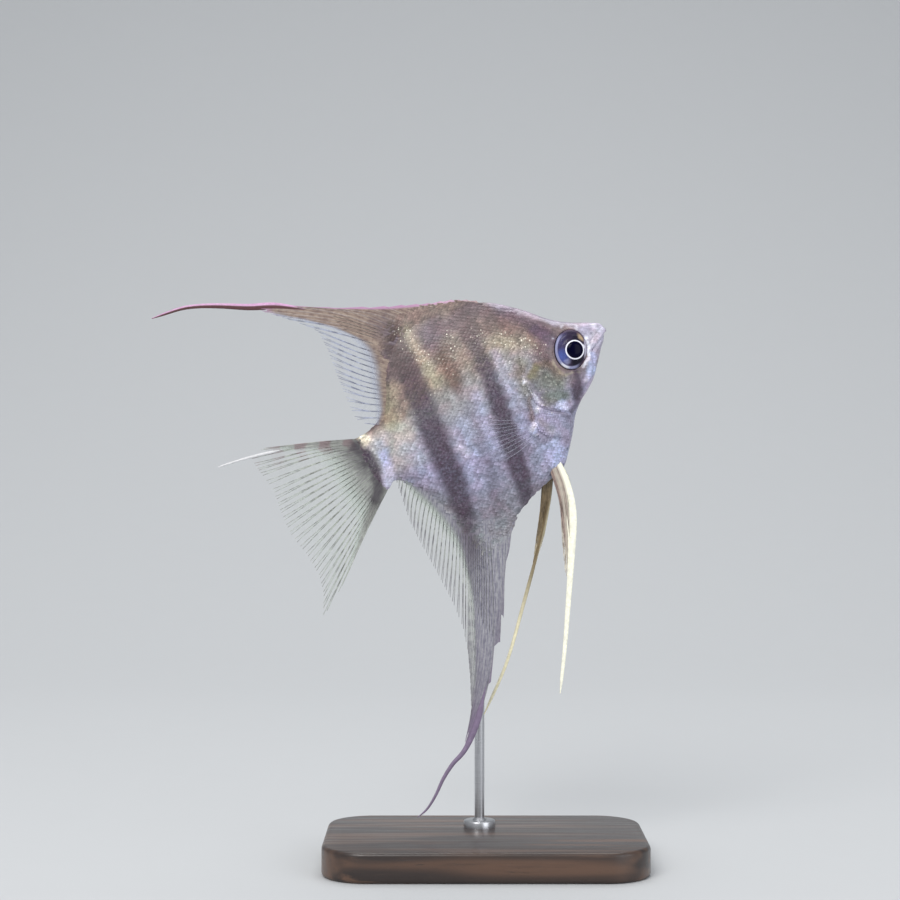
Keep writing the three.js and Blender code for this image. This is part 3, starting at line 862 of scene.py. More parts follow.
@dataclass
class Body:
    """The fish's body under its scales, as one skin from the snout to the root of the tail fin.

    It runs to `length`, rounding off from `closes` on. It lies inside the solids by the `coat` of scales, or
    by `keel_coat` of that along back and belly, which are never closer to the middle than `least`.
    """

    place: FishFrame
    marks: Markings
    eye: EyePlace
    length: float = 54.6
    closes: float = 52.4
    coat: float = 0.12
    keel_coat: float = 0.6
    least: float = 0.02
    stations: int = 292
    around: int = 320
    back_line: Profile = Profile((
        (0, 0), (0.4, 1.9), (2, 3.1), (5.5, 5.1), (8.7, 7.6), (12.9, 12.3), (17.5, 16.4), (20.5, 18),
        (27, 20), (33, 20.9), (38, 19.6), (42, 15.9), (45.1, 10.7), (47.5, 7.5), (50.8, 6.1), (54, 5.9),
    ))
    belly_line: Profile = Profile((
        (0, 0), (1.5, -1.3), (4.8, -4.9), (7, -7.1), (9.1, -8.5), (11.1, -9.6), (13.5, -11.5),
        (15.8, -14.4), (18.4, -17.3), (20.6, -19.4), (24, -20.4), (28, -21.2), (33, -23), (36.5, -23.5),
        (40.2, -22.3), (43.9, -17.8), (48.1, -9.4), (51.3, -5.4), (54, -5.9),
    ))
    half_width: Profile = Profile((
        (0, 0), (0.3, 0.75), (1.2, 1.35), (3, 2.2), (6, 3.1), (9, 3.7), (14, 4.5), (20, 4.9),
        (27, 4.8), (34, 4.1), (41, 3), (47, 2.1), (54, 1.1),
    ))
    keel: Profile = Profile(((0, 0.8), (6, 1), (14, 1.25), (24, 1.5), (40, 1.5), (54, 1.2)))
    folds: tuple[Fold, ...] = (
        fold(-0.26, 0.15, (0, -0.05), (1.2, -0.7), (3, -1.35), (4.5, -1.95)),
        fold(0.13, 0.36, (0.1, 0.5), (1.5, -0.1), (3.2, -0.7), (4.7, -1.45)),
        fold(0.12, 0.34, (0.2, -0.75), (1.4, -1.3), (3, -2), (4.2, -2.65)),
        fold(-0.13, 0.18, (0.45, 1.2), (2, 0.62), (3.9, -0.2), (5, -1.1), (5.35, -2.1)),
        fold(-0.15, 0.2, (4.5, -1.95), (5.05, -3.1), (5.4, -4.4), (6.7, -6.4)),
        fold(0.12, 0.3, (4.95, -1.7), (5.6, -3), (6.1, -4.5), (7.4, -6.2)),
        fold(-0.08, 0.2, (1.6, -2.1), (3.5, -3.6), (5.3, -5.6)),
        fold(-0.09, 0.3, (6.1, -4.6), (7.7, -5.2), (9.3, -6.5), (10.9, -7.9), (12.4, -9.7)),
        fold(0.12, 0.28, (19.1, -1.9), (19.3, -4.5), (18.5, -6.7), (16.7, -8.3), (14.7, -9.7), (12.9, -10.3)),
        fold(-0.16, 0.22, (19.55, -1.9), (19.8, -4.6), (18.9, -7.1), (17, -8.9), (14.9, -10.3), (13, -10.9)),
        fold(-0.14, 0.22, (7.4, -6.7), (10.2, -8), (12.6, -9.6), (14.2, -11.8), (15.8, -13.7)),
        fold(0.14, 2.1, (15.3, -4.9), (15.9, -4.5)),
        fold(-0.08, 0.35, (12.2, -3.6), (12.7, -6.3), (14, -8)),
        fold(-0.07, 0.4, (17.2, 3.4), (14.2, 2.8), (12, 1.4)),
        fold(0.3, 0.75, (21.6, -9), (21.9, -10.3)),
        fold(0.2, 1.2, (21.8, -18.1), (23.8, -18.9)),
        fold(-0.26, 0.14, (2.95, 0.98), (3.1, 1.0)),
        fold(0.07, 0.16, (2.75, 1.34), (3.3, 1.34)),
        fold(-0.05, 0.5, (5.2, 3.3), (8.4, 5.2), (11.4, 8.1)),
    )
    plates: tuple[Plate, ...] = (
        Plate((
            (14.9, 7.6), (16.2, 6), (17.3, 4.6), (18.7, 1.5), (19.95, -1.3), (20.7, -4.3), (21.45, -7.2),
            (21.75, -9.9), (20.5, -12.5), (18.2, -14.2), (15.8, -14.4),
        ), 0.3, 3.4, 0.07),
    )

    def __post_init__(self) -> None:
        """Lays the skin out as a grid of places, closer together on the head, with its relief."""
        share = np.linspace(0, 1, 801)
        # the rings lie closest at the snout, and closer on the head than behind it
        pace = 0.0016 + 0.62 * np.clip(share / 0.05, 0, 1) + 0.9 * smoothstep(0.42, 0.56, share)
        run = np.concatenate([[0], np.cumsum((pace[1:] + pace[:-1]) / 2)])
        self.backs = np.interp(np.linspace(0, 1, self.stations + 1), share, run / run[-1]) * self.length
        turns = np.arange(self.around) / self.around * 2 * math.pi
        u = self.backs[:, None] * np.ones_like(turns)
        height = np.sin(turns) * np.ones_like(u)
        v = height * np.where(height > 0, self.top(u), -self.bottom(u))
        out = np.sign(np.round(np.cos(turns), 9)) * self.half(u, v)
        self.grid = self._lifted(np.stack([u, v, out], axis=-1))
        self.normals = self._normals(self.grid)

    def top(self, back: Array) -> Array:
        """The height of the back, inside the depth of the coat."""
        return np.maximum(self.back_line.at(back) - self.coat * self.keel_coat, self.least)

    def bottom(self, back: Array) -> Array:
        """The height of the belly, inside the depth of the coat."""
        return np.minimum(self.belly_line.at(back) + self.coat * self.keel_coat, -self.least)

    def half(self, back: Array, up: Array) -> Array:
        """Half the width of the body at places on its side, with the hollow round the eye.

        Args:
            back: How far back the places are.
            up: How far up they are.

        Returns:
            How far out the skin lies there.
        """
        edge = np.where(up > 0, self.top(back), self.bottom(back))
        closing = np.sqrt(np.clip(1 - ((back - self.closes) / (self.length - self.closes)) ** 2, 0, 1))
        wide = np.maximum(self.half_width.at(back) - self.coat, 0.0)
        wide = wide * np.where(back > self.closes, closing, 1)
        plain = wide * np.clip(1 - (up / edge) ** 2, 0, 1) ** (self.keel.at(back) / 2)
        eye, far, plane = self.eye, self.eye.far(back, up), self.eye.plane(back)
        hollow = smoothstep(1.85, 1.03, far)
        beside = plain + (np.minimum(plain, plane + eye.rim) - plain) * hollow
        lid = eye.lid * np.exp(-(((far - 1.07) / 0.055) ** 2))
        under = smoothstep(1.02, 0.96, far)
        return (beside + lid) * (1 - under) + (plane - eye.sunk) * under

    def relief(self, back: Array, up: Array) -> Array:
        """How far folds and plates lift the skin at places on its side."""
        total = sum(one.relief(back, up) for one in (*self.folds, *self.plates))
        return total * smoothstep(1.03, 1.17, self.eye.far(back, up))

    def _lifted(self, plain: Array) -> Array:
        """Lifts a grid of places by the skin's relief.

        Args:
            plain: The grid, as rings of back, up and out.

        Returns:
            The grid, moved along its own normals.
        """
        u, v, out = np.moveaxis(plain, -1, 0)
        near_keel = smoothstep(0.05, 0.5, np.abs(out) + 0.5 * smoothstep(1.5, 0.5, u))
        return plain + self._normals(plain) * (self.relief(u, v) * near_keel)[..., None]

    def _normals(self, grid: Array) -> Array:
        """The outward normals of a grid of rings.

        Args:
            grid: The grid, as rings of back, up and out.

        Returns:
            A normal for each place of the grid.
        """
        down = np.gradient(grid, axis=0)
        round_ = np.roll(grid, -1, axis=1) - np.roll(grid, 1, axis=1)
        n = unit(np.cross(round_, down))
        outward = (n[..., 2] * grid[..., 2]).sum() > 0
        return n if outward else -n

    def skin(self, material: Material) -> Piece:
        """One closed skin over head, gill covers, trunk and tail stalk.

        Args:
            material: The skin's finish.

        Returns:
            The piece.
        """
        deselect()
        bpy.ops.mesh.primitive_uv_sphere_add(segments=self.around, ring_count=self.stations, radius=1)
        skin = named("fish_skin")
        ball = places_of(skin)
        station = np.rint(np.arccos(np.clip(ball[:, 2], -1, 1)) / math.pi * self.stations).astype(int)
        turn = np.rint(-np.arctan2(ball[:, 1], ball[:, 0]) / (2 * math.pi) * self.around).astype(int)
        local = self.grid[station, turn % self.around]
        local[station == 0] = (0.0, 0.0, 0.0)
        local[station == self.stations] = (self.length, 0.0, 0.0)
        move_to(skin, self.place.world(local))
        set_values(skin, self.marks.values(local[:, 0], local[:, 1]))
        dress(
            skin, 60, material, "skin", "head", "lower_jaw", "gill_cover_right", "gill_cover_left", "trunk",
            "tail_stalk",
        )
        return skin

    def on_side(self, back: Array, up: Array) -> tuple[Array, Array]:
        """Finds places on the right flank.

        Args:
            back: How far back the places are.
            up: How far up they are.

        Returns:
            The places and the skin's outward normals there, in the fish's frame.
        """
        row = np.interp(back, self.backs, np.arange(self.stations + 1))
        edge = np.where(up > 0, self.top(back), self.bottom(back))
        turn = np.arcsin(np.clip(np.abs(up / edge), 0, 0.999)) * np.sign(up)
        column = turn / (2 * math.pi) * self.around
        return between(self.grid, row, column), unit(between(self.normals, row, column))

    def unwrap(self, back: Array, up: Array) -> Array:
        """Unrolls a flank onto a flat map.

        Args:
            back: How far back the places are.
            up: How far up they are.

        Returns:
            Where the places lie on the map, from 0 to 1 both ways.
        """
        steps = 160
        cells = np.linspace(0.5, 54, 108)
        low, high = self.bottom(cells), self.top(cells)
        heights = low[:, None] + (high - low)[:, None] * np.linspace(0, 1, steps + 1)
        width = self.half(cells[:, None] * np.ones_like(heights), heights)
        run = np.zeros_like(heights)
        run[:, 1:] = np.cumsum(np.hypot(np.diff(heights, axis=1), np.diff(width, axis=1)), axis=1)
        run /= run[:, -1:]
        share = np.clip((up - self.bottom(back)) / (self.top(back) - self.bottom(back)), 0, 1)
        across = between(run.T, share * steps, np.interp(back, cells, np.arange(len(cells))))
        return 0.01 + 0.975 * np.stack([back / self.length, across], axis=-1)


# ---- the scales


def model_scale() -> Pattern:
    """One scale, modelled once: a thin crowned plate with a round rear edge.

    Returns:
        The plate, from 0 to 1 along its length, -0.5 to 0.5 across, its rise in parts of its length.
    """
    deselect()
    bpy.ops.mesh.primitive_grid_add(x_subdivisions=3, y_subdivisions=3, size=1, location=(0, 0.5, 0))
    plate = named("scale_pattern")
    with editing("SELECT"):
        rise(0.02)
        all_outwards()
        bpy.ops.mesh.select_all(action="DESELECT")
    for face in plate.data.polygons:
        face.select = face.normal.z < -0.5
    with editing():
        bpy.ops.mesh.dissolve_faces()
    x, y, z = places_of(plate).T
    # the rear half is rounded, the front narrowed, and the middle raised
    rear = np.where(y > 0.5, (y - 0.5) / 0.5, 0)
    front = np.where(y < 0.5, (0.5 - y) / 0.5, 0)
    narrow = np.sqrt(np.clip(1 - 0.8 * rear**2.2, 0.03, 1)) * (1 - 0.34 * front**2)
    crown = 0.03 * (1 - (2 * x) ** 2) * (1 - front**2 * 0.6)
    bulge = 0.16 * rear * (1 - (2 * x) ** 2)
    lift = np.where(z > 0.01, crown, crown * 0.7)
    move_to(plate, np.stack([x * narrow, y * 0.92 + bulge * 0.66, z + lift], axis=1))
    return Pattern.of(plate)


@dataclass
class Roots:
    """Where scales grow, in the fish's frame, one scale to a row.

    Each has its place, the skin's normal there, the way that it points, its size, how far its rear edge
    is lifted, and where it is kept on the map of its colours.
    """

    place: Array
    normal: Array
    heading: Array
    length: Array
    width: Array
    lift: Array
    kept: Array

    def grow(self, name: str, side: Side, body: Body, pattern: Pattern, seed: int, sunk: float) -> Piece:
        """Grows a scale on every root, as one piece.

        Args:
            name: The piece's name.
            side: Which side of the fish it is on.
            body: The body, whose frame and markings are used.
            pattern: The scale to copy.
            seed: Which run of chance to use.
            sunk: How deep the front of each scale lies in the skin.

        Returns:
            The piece.
        """
        rng = np.random.default_rng(seed)
        heading = unit(self.heading - self.normal * (self.heading * self.normal).sum(1, keepdims=True))
        beside = np.cross(heading, self.normal)
        x, y, z = pattern.places.T
        raised = -sunk + z * self.length[:, None] + y * (self.lift + sunk * 0.6)[:, None]
        local = (
            self.place[:, None, :]
            + beside[:, None, :] * (x * self.width[:, None])[..., None]
            + heading[:, None, :] * ((y - 0.3) * self.length[:, None])[..., None]
            + self.normal[:, None, :] * raised[..., None]
        )
        local[..., 2] = np.maximum(local[..., 2], 0.015) * side.value
        values = body.marks.values(local[..., 0], local[..., 1])
        values["tone"] = rng.uniform(0, 1, len(self.place))[:, None] * np.ones_like(x)
        flat = np.stack([x + 0.5, y], axis=-1) * np.ones((len(self.place), 1, 1))
        kept = self.kept[:, None, :] + (flat - 0.5) * PATCH
        scales = Gathering(pattern)
        scales.add(body.place.world(local), values, {"OFBake": kept, "ScaleMap": flat})
        piece = scales.piece(name)
        if side is Side.LEFT:
            turn_inside_out(piece)
        return piece


@dataclass(frozen=True)
class ScaleField:
    """A patch of scales in staggered rows: how far apart they are and where they grow."""

    name: str
    along: float
    across: float
    seed: int
    low: tuple[float, float]
    high: tuple[float, float]
    lift: float = 0.1

    def roots(self) -> Array:
        """Sets the scales out in staggered rows with a little unevenness.

        Returns:
            The scales' roots, as rows of back and up.
        """
        rng = np.random.default_rng(self.seed)
        found = []
        for row, up in enumerate(np.arange(self.low[1], self.high[1], self.across)):
            start = self.low[0] + (row % 2) * self.along / 2
            backs = np.arange(start, self.high[0], self.along)
            found.append(np.stack([backs, np.full_like(backs, up)], axis=1))
        roots = np.concatenate(found)
        return roots + rng.normal(0, 0.06, roots.shape) * [self.along, self.across]


@dataclass
class Coat:
    """The scales of the body, overlapping from the front backwards, as one piece for each patch and side."""

    body: Body
    flank: ScaleField = ScaleField("flank", 1.08, 0.41, 11, (14.0, -24.0), (53.8, 22.0), 0.06)
    face: ScaleField = ScaleField("face", 0.72, 0.29, 12, (8.2, -17.0), (22.4, 19.0), 0.03)
    cheek_line: Stroke = Stroke(((9.1, -3.9), (9.3, -6), (10.9, -7.9), (13, -10.6)), 1.0)

    def _ahead(self, back: Array, up: Array) -> Array:
        """How far places are in front of the gill cover's free edge.

        Args:
            back: How far back the places are.
            up: How far up they are.

        Returns:
            The distances, below 0 behind the edge.
        """
        edge = catmull_rom(((13.2, 12), *self.body.plates[0].edge, (13.4, -14.6)), 200)
        order = np.argsort(edge[:, 1])
        return np.interp(up, edge[order, 1], edge[order, 0]) - back

    def _grows(self, where: ScaleField, back: Array, up: Array) -> Array:
        """Which roots grow a scale: those in the patch and clear of eye, snout and keel.

        Args:
            where: The patch.
            back: How far back the roots are.
            up: How far up they are.

        Returns:
            True for each root that does.
        """
        body = self.body
        inside = (up < body.top(back) - 0.12) & (up > body.bottom(back) + 0.12)
        ahead = self._ahead(back, up)
        if where is self.flank:
            nape = (up > 7.6) & (back > 15.5) & (up < 40 - 1.2 * back + 22)
            return inside & ((ahead < 0.1) | (nape & (ahead < 0.6)))
        bare = (back < 7.2 + np.clip(up, -12, 0) * -0.55) | (body.eye.far(back, up) < 1.3)
        near_line, hand = self.cheek_line.far(back, up)
        lower_front = (up < -3.4) & ((hand < 0) | (near_line < 0.3)) & (up > -10.6) & (back < 14)
        forehead = up > body.top(back) - 2.4 * smoothstep(18, 13, back)
        return inside & ~bare & ~lower_front & ~forehead & (ahead > -0.1) & (back > 7.4)

    def _slope(self, back: Array) -> Array:
        """How steeply the line of the back rises.

        Args:
            back: How far back the places are.

        Returns:
            The slope at each.
        """
        body = self.body
        slope = np.gradient(body.top(body.backs), body.backs)
        return slope[np.searchsorted(body.backs, back).clip(1, body.stations) - 1].clip(-0.7, 0.5)

    def patch(self, where: ScaleField, side: Side, pattern: Pattern, material: Material) -> Piece:
        """Grows all the scales of one patch on one side.

        Args:
            where: The patch.
            side: Which flank it is on.
            pattern: The scale to copy.
            material: The scales' finish.

        Returns:
            The piece.
        """
        body = self.body
        roots = where.roots()
        back, up = roots[self._grows(where, *roots.T)].T
        rng = np.random.default_rng(where.seed + 100)
        place, normal = body.on_side(back, up)
        with_back = 0.5 * np.clip(up / body.top(back), -1, 1) * self._slope(back)
        lean = np.where(up > 0, with_back, 0.25 * np.clip(up / 20, -1, 0)) + rng.normal(0, 0.08, len(back))
        breast = smoothstep(-9, -15, up) * smoothstep(27, 22, back)
        stalk = smoothstep(43, 52, back)
        size = (1 - 0.2 * breast - 0.2 * stalk) * rng.uniform(0.9, 1.1, len(back))
        grown = Roots(
            place, normal, np.stack([np.cos(lean), np.sin(lean), 0 * lean], axis=1),
            where.along * 1.3 * size, where.across * 2.26 * size,
            where.lift * rng.uniform(0.75, 1.3, len(back)) * (1 - 0.5 * stalk), body.unwrap(back, up),
        )
        name = f"scales_{where.name}_{side.word}"
        piece = grown.grow(name, side, body, pattern, where.seed + 200, body.coat * 0.55)
        dress(piece, SCALE_ANGLE, material, "skin")
        return piece


@dataclass
class FinCoat:
    """Small scales over the root of a fin, pointing more and more along its rays.

    They start up to `overlap` inside the edge of the body, whose own scales end at `ends`.
    """

    body: Body
    fin: "Fin"
    reach: Points
    seed: int
    along: float = 0.84
    across: float = 0.33
    overlap: float = 1.1
    ends: float = 53.8

    def patch(self, side: Side, pattern: Pattern, material: Material) -> Piece:
        """Grows the scales on one side of the fin's root.

        Args:
            side: Which side of the fin they are on.
            pattern: The scale to copy.
            material: The scales' finish.

        Returns:
            The piece.
        """
        fin, body = self.fin, self.body
        rng = np.random.default_rng(self.seed)
        guides = np.linspace(0, len(fin.lines) - 1, 140)
        lines = np.stack([fin.line_at(g) for g in guides])
        run = np.pad(np.cumsum(steps_along(lines), axis=1), ((0, 0), (1, 0)))
        reach = np.array(self.reach)
        near = run < reach[:, 1].max() + 1.5
        flat, way = lines[near], unit(np.gradient(lines, axis=1)[near])
        share, guide = np.linspace(0, 1, ALONG + 1) * np.ones_like(run), guides[:, None] * np.ones_like(run)
        low, high = flat.min(axis=0), flat.max(axis=0)
        rows = ScaleField("root", self.along, self.across, self.seed, tuple(low[:2]), tuple(high[:2]))
        roots = rows.roots()
        gap = np.hypot(roots[:, None, 0] - flat[:, 0], roots[:, None, 1] - flat[:, 1])
        best = gap.argmin(axis=1)
        back, up = roots.T
        within = np.minimum(back, self.ends)
        top, bottom = body.top(within), body.bottom(within)
        outside = (up > top - self.overlap) | (up < bottom + self.overlap) | (back > self.ends - 0.1)
        past = np.interp(guide[near][best], reach[:, 0], reach[:, 1])
        beyond = np.maximum(np.maximum(up - top, bottom - up), back - (self.ends + 0.2))
        grows = outside & (gap.min(axis=1) < 0.16) & (beyond < past * rng.uniform(0.7, 1.0, len(back)))
        part = share[near][best]
        grows &= (fin.opaque(guide[near][best], part + 0.03) > 0.93) & (part < 0.8)
        late = smoothstep(0, 1, beyond[grows] / (past[grows] + 0.1))[:, None]
        roots, best, part = roots[grows], best[grows], part[grows]
        thick = fin.thickness(part, run[near][best] / np.maximum(part, 1e-3), np.ones(len(best))) / 2
        closing = smoothstep(body.closes, body.length, roots[:, 0]) * (roots[:, 0] < body.length)
        skin = body.half(np.minimum(roots[:, 0], body.length), roots[:, 1]) * (closing > 0)
        out = flat[best, 2] * side.value + np.maximum(thick, skin)
        out += fin.sway(guide[near][best], part) * side.value
        heading = np.array([1.0, 0.0, 0.0]) * (1 - late) + way[best] * [1, 1, 0] * (0.3 + late)
        heading[:, :2] += rng.normal(0, 0.07, (len(best), 2))
        normal = unit(np.column_stack([0.5 * closing, 0 * closing, np.ones_like(closing)]))
        size = (1 - 0.35 * late[:, 0]) * rng.uniform(0.9, 1.08, len(best))
        grown = Roots(
            np.column_stack([roots, out]), normal, heading,
            self.along * 1.35 * size, self.across * 2.3 * size,
            0.03 * (1 - 0.5 * late[:, 0]), 0.01 + 0.97 * (roots - low[:2]) / (high - low)[:2],
        )
        piece = grown.grow(f"scales_{fin.shape.name}_{side.word}", side, body, pattern, self.seed + 1, 0.05)
        dress(piece, SCALE_ANGLE, material, "skin")
        return piece


# ---- the eyes


@dataclass
class Eyes:
    """The two eyes: each a flattened ball with a raised lens and a dished iris round it."""

    place: FishFrame
    eye: EyePlace
    lens_back: float = -0.64
    lens_up: float = -0.16
    lens_radius: float = 1.68

    def one(self, side: Side, material: Material) -> Piece:
        """An eye on one side.

        Args:
            side: Which side of the head it is on.
            material: The eye's finish, which reads the map named EyeMap.

        Returns:
            The piece.
        """
        eye = self.eye
        deselect()
        bpy.ops.mesh.primitive_uv_sphere_add(segments=96, ring_count=72, radius=1)
        ball = named(f"fish_eye_{side.word}")
        x, y, face = places_of(ball).T
        a, b = x * eye.wide, y * eye.tall
        dome = np.sign(face) * np.sqrt(np.clip(1 - np.hypot(x, y) ** 2, 0, 1)) * eye.depth
        from_lens = np.hypot(a - self.lens_back, b - self.lens_up)
        # the lens stands out, with a low ring round it and a dish beyond that
        lens = 0.2 * smoothstep(self.lens_radius + 0.12, self.lens_radius - 0.6, from_lens)
        ring = 0.07 * np.exp(-(((from_lens - 1.86) / 0.15) ** 2))
        dish = -0.2 * np.exp(-(((from_lens - 2.6) / 0.5) ** 2))
        dome = dome + smoothstep(0.0, 0.25, face) * (lens + ring + dish)
        c, s = math.cos(eye.upright), math.sin(eye.upright)
        b_off, u_off, lean = a * c - b * s, a * s + b * c, eye.ahead
        back = eye.back + b_off * math.cos(lean) - dome * math.sin(lean)
        out = eye.out + b_off * math.sin(lean) + dome * math.cos(lean)
        move_to(ball, self.place.world(np.stack([back, eye.up + u_off, out * side.value], axis=-1)))
        set_map(ball, "EyeMap", np.stack([a, b], axis=-1) / (2 * eye.tall) + 0.5)
        face_outwards(ball)
        dress(ball, 80, material, "eye", f"eye_{side.word}")
        return ball


# ---- the fins


@dataclass(frozen=True)
class Guide:
    """A ray drawn from its root to its tip, as points of back and up, with or without out."""

    points: Points
    rays: int = 1

    def line(self, samples: int) -> Array:
        """Points at even distances along the ray, with how far out each is."""
        return spaced(with_out(self.points), samples)


def with_out(points: Points) -> Points:
    """Points as back, up and out, where those without an out are in the fish's middle plane."""
    return tuple((*p, 0.0)[:3] for p in points)


@dataclass(frozen=True)
class Thread:
    """A free filament that runs on from a fin, with its width and thickness at both ends."""

    points: Points
    wide: tuple[float, float]
    thick: tuple[float, float]
    start: float = 0.22


@dataclass(frozen=True)
class FinShape:
    """A fin: its rays in order, where it is opaque, and how thick it is.

    `clear` gives, as (guide, share) pairs, how far along each ray the fin stays opaque, and `rim` how
    strongly its outer edge is coloured.
    """

    name: str
    nodes: tuple[str, ...]
    guides: tuple[Guide, ...]
    threads: tuple[Thread, ...]
    clear: Points
    rim: Points
    last_spine: float = -1.0
    spine_cut: float = 1.0
    root_thick: float = 1.5
    root_reach: float = 3.2
    web_thick: float = 0.13
    ray_root: float = 0.17
    ray_tip: float = 0.055
    notch: float = 0.05
    splay: float = 0.2
    branch_from: float = 0.5
    fade: float = 0.16
    side: Side = Side.RIGHT


@dataclass
class Strand:
    """A ray or thread to be bent from the rod: its line, and what it is like at each point of it.

    `wide` and `thick` are its half measures in the plane of the fin and across it, `veil` how opaque the
    fin is beside it, and `rim` how far the edge's colour shows on it.
    """

    number: float
    line: Array
    wide: Array
    thick: Array
    veil: Array
    rim: Array


@dataclass
class Fin:
    """A fin as a thin closed membrane, with its rays and filaments in a piece of their own."""

    place: FishFrame
    marks: Markings
    shape: FinShape

    def __post_init__(self) -> None:
        """Draws the guides, and finds the place of each ray between them."""
        guides = self.shape.guides
        self.lines = np.stack([guide.line(ALONG) for guide in guides])
        self.ray_at = [
            g + step / guide.rays for g, guide in enumerate(guides[:-1]) for step in range(guide.rays)
        ]
        self.ray_at.append(len(guides) - 1.0)

    def line_at(self, guide: float) -> Array:
        """The line of a ray part way between two guides.

        Args:
            guide: How far on the ray is, counted in guides.

        Returns:
            Its points, as rows of back, up and out.
        """
        g = min(int(guide), len(self.lines) - 2)
        share = guide - g
        return self.lines[g] * (1 - share) + self.lines[g + 1] * share

    def opaque(self, guide: Array, share: Array) -> Array:
        """How opaque the fin is at places along its rays.

        Args:
            guide: Which ray each place is on, counted in guides.
            share: How far along it the place is, from 0 to 1.

        Returns:
            Numbers from 0 to 1.
        """
        until = np.interp(guide, *np.array(self.shape.clear).T)
        veiled = smoothstep(until + self.shape.fade, until - self.shape.fade * 0.6, share)
        return np.where(until > 0.99, 1.0, veiled)

    def rimmed(self, guide: Array, share: Array) -> Array:
        """How far the colour of the outer edge shows at places along the rays.

        Args:
            guide: Which ray each place is on, counted in guides.
            share: How far along it the place is, from 0 to 1.

        Returns:
            Numbers from 0 to 1.
        """
        at, strengths, depths = np.array(self.shape.rim).T
        deep = np.interp(guide, at, depths)
        return np.interp(guide, at, strengths) * smoothstep(1 - deep, 1 - deep * 0.35, share)

    def _columns(self) -> tuple[Array, Array, Array]:
        """Sets out the columns of the membrane.

        Returns:
            Each column's guide, how far along its ray it reaches, and how close to a ray it is.
        """
        columns = []
        shape = self.shape
        for here, there in zip(self.ray_at[:-1], self.ray_at[1:]):
            for step in range(PER_RAY):
                f = step / PER_RAY
                if here < shape.last_spine:
                    cut = shape.spine_cut * (0.06 + 0.1 / (1 + here)) * f**0.8
                else:
                    cut = shape.notch * math.sin(math.pi * f) ** 0.7
                columns.append((here + (there - here) * f, 1 - cut, abs(1 - 2 * f)))
        columns.append((self.ray_at[-1], 1.0, 1.0))
        guides, reach, ribs = np.array(columns).T
        return guides, reach, ribs

    def thickness(self, share: Array, length: Array, rib: Array) -> Array:
        """The membrane's whole thickness at places along its rays.

        Args:
            share: How far along its ray each place is, from 0 to 1.
            length: The length of that ray.
            rib: How close to a ray the place is, from 0 to 1.

        Returns:
            The thickness.
        """
        shape = self.shape
        root = shape.root_thick * np.exp(-((share * length / shape.root_reach) ** 2))
        return root + shape.web_thick * (1 - 0.45 * share) * (0.6 + 0.4 * rib)

    def sway(self, guide: Array, share: Array) -> Array:
        """A slight wave of the fin out of its plane.

        Args:
            guide: Which ray each place is on, counted in guides.
            share: How far along it the place is, from 0 to 1.

        Returns:
            How far out the places are moved.
        """
        turn = guide / len(self.lines)
        wave = np.sin(turn * 9.0 + share * 3.1) + 0.5 * np.sin(turn * 21 + 1.3)
        return self.shape.splay * wave * share**1.6

    def _sided(self, local: Array) -> Array:
        """Places mirrored to the fin's own side, if it is the left."""
        return local * [1, 1, self.shape.side.value]

    def membrane(self, material: Material) -> Piece:
        """The fin's skin, from inside the body to its edge.

        Args:
            material: The membrane's finish.

        Returns:
            The piece.
        """
        shape = self.shape
        guides, reach, ribs = self._columns()
        across, rows = len(guides) - 1, ALONG
        deselect()
        bpy.ops.mesh.primitive_grid_add(x_subdivisions=across, y_subdivisions=rows, size=2)
        sheet = named(f"{shape.name}_membrane")
        square = (places_of(sheet) + 1) / 2
        i, j = (np.rint(square[:, k] * steps).astype(int) for k, steps in enumerate((across, rows)))
        lines = np.stack([self.line_at(g) for g in guides])
        length, guide, share = steps_along(lines).sum(1)[i], guides[i], j / rows * reach[i]
        at = share * ALONG
        low = np.minimum(at.astype(int), ALONG - 1)
        part = (at - low)[:, None]
        local = lines[i, low] * (1 - part) + lines[i, low + 1] * part
        local[:, 2] += self.sway(guide, share)
        local = self._sided(local)
        move_to(sheet, self.place.world(local))
        set_values(sheet, {
            "veil": self.opaque(guide, share),
            "rim": self.rimmed(guide, share),
            "ray": np.interp(guide, self.ray_at, np.arange(len(self.ray_at))),
            "along": share * length,
            "bar": self.marks.values(local[:, 0], local[:, 1])["bar"],
            "share": share,
        })
        self._thicken(sheet, self.thickness(share, length, ribs[i]))
        face_outwards(sheet)
        dress(sheet, 50, material, "fin", *shape.nodes)
        return sheet

    def _thicken(self, sheet: Piece, thick: Array) -> None:
        """Gives the membrane its thickness on both sides of its middle.

        Args:
            sheet: The membrane.
            thick: Its whole thickness at each vertex.
        """
        most = float(thick.max())
        group = sheet.vertex_groups.new(name="thick")
        for vertex, weight in enumerate(thick / most):
            group.add([vertex], float(weight), "REPLACE")
        wall = sheet.modifiers.new("wall", "SOLIDIFY")
        wall.thickness, wall.offset, wall.use_even_offset = most * MM, 0.0, False
        wall.vertex_group, wall.thickness_vertex_group = group.name, 0.0
        choose(sheet)
        bpy.ops.object.modifier_apply(modifier=wall.name)

    def rays(self, rod: Pattern, material: Material) -> Piece:
        """The rays and threads of the fin.

        Args:
            rod: A rod of unit length and radius, modelled once.
            material: The rays' finish.

        Returns:
            The piece.
        """
        rays = Gathering(rod)
        for strand in (*self._ray_strands(), *self._thread_strands()):
            self._sweep(rays, strand)
        piece = rays.piece(f"{self.shape.name}_rays")
        face_outwards(piece)
        dress(piece, 60, material, "fin")
        return piece

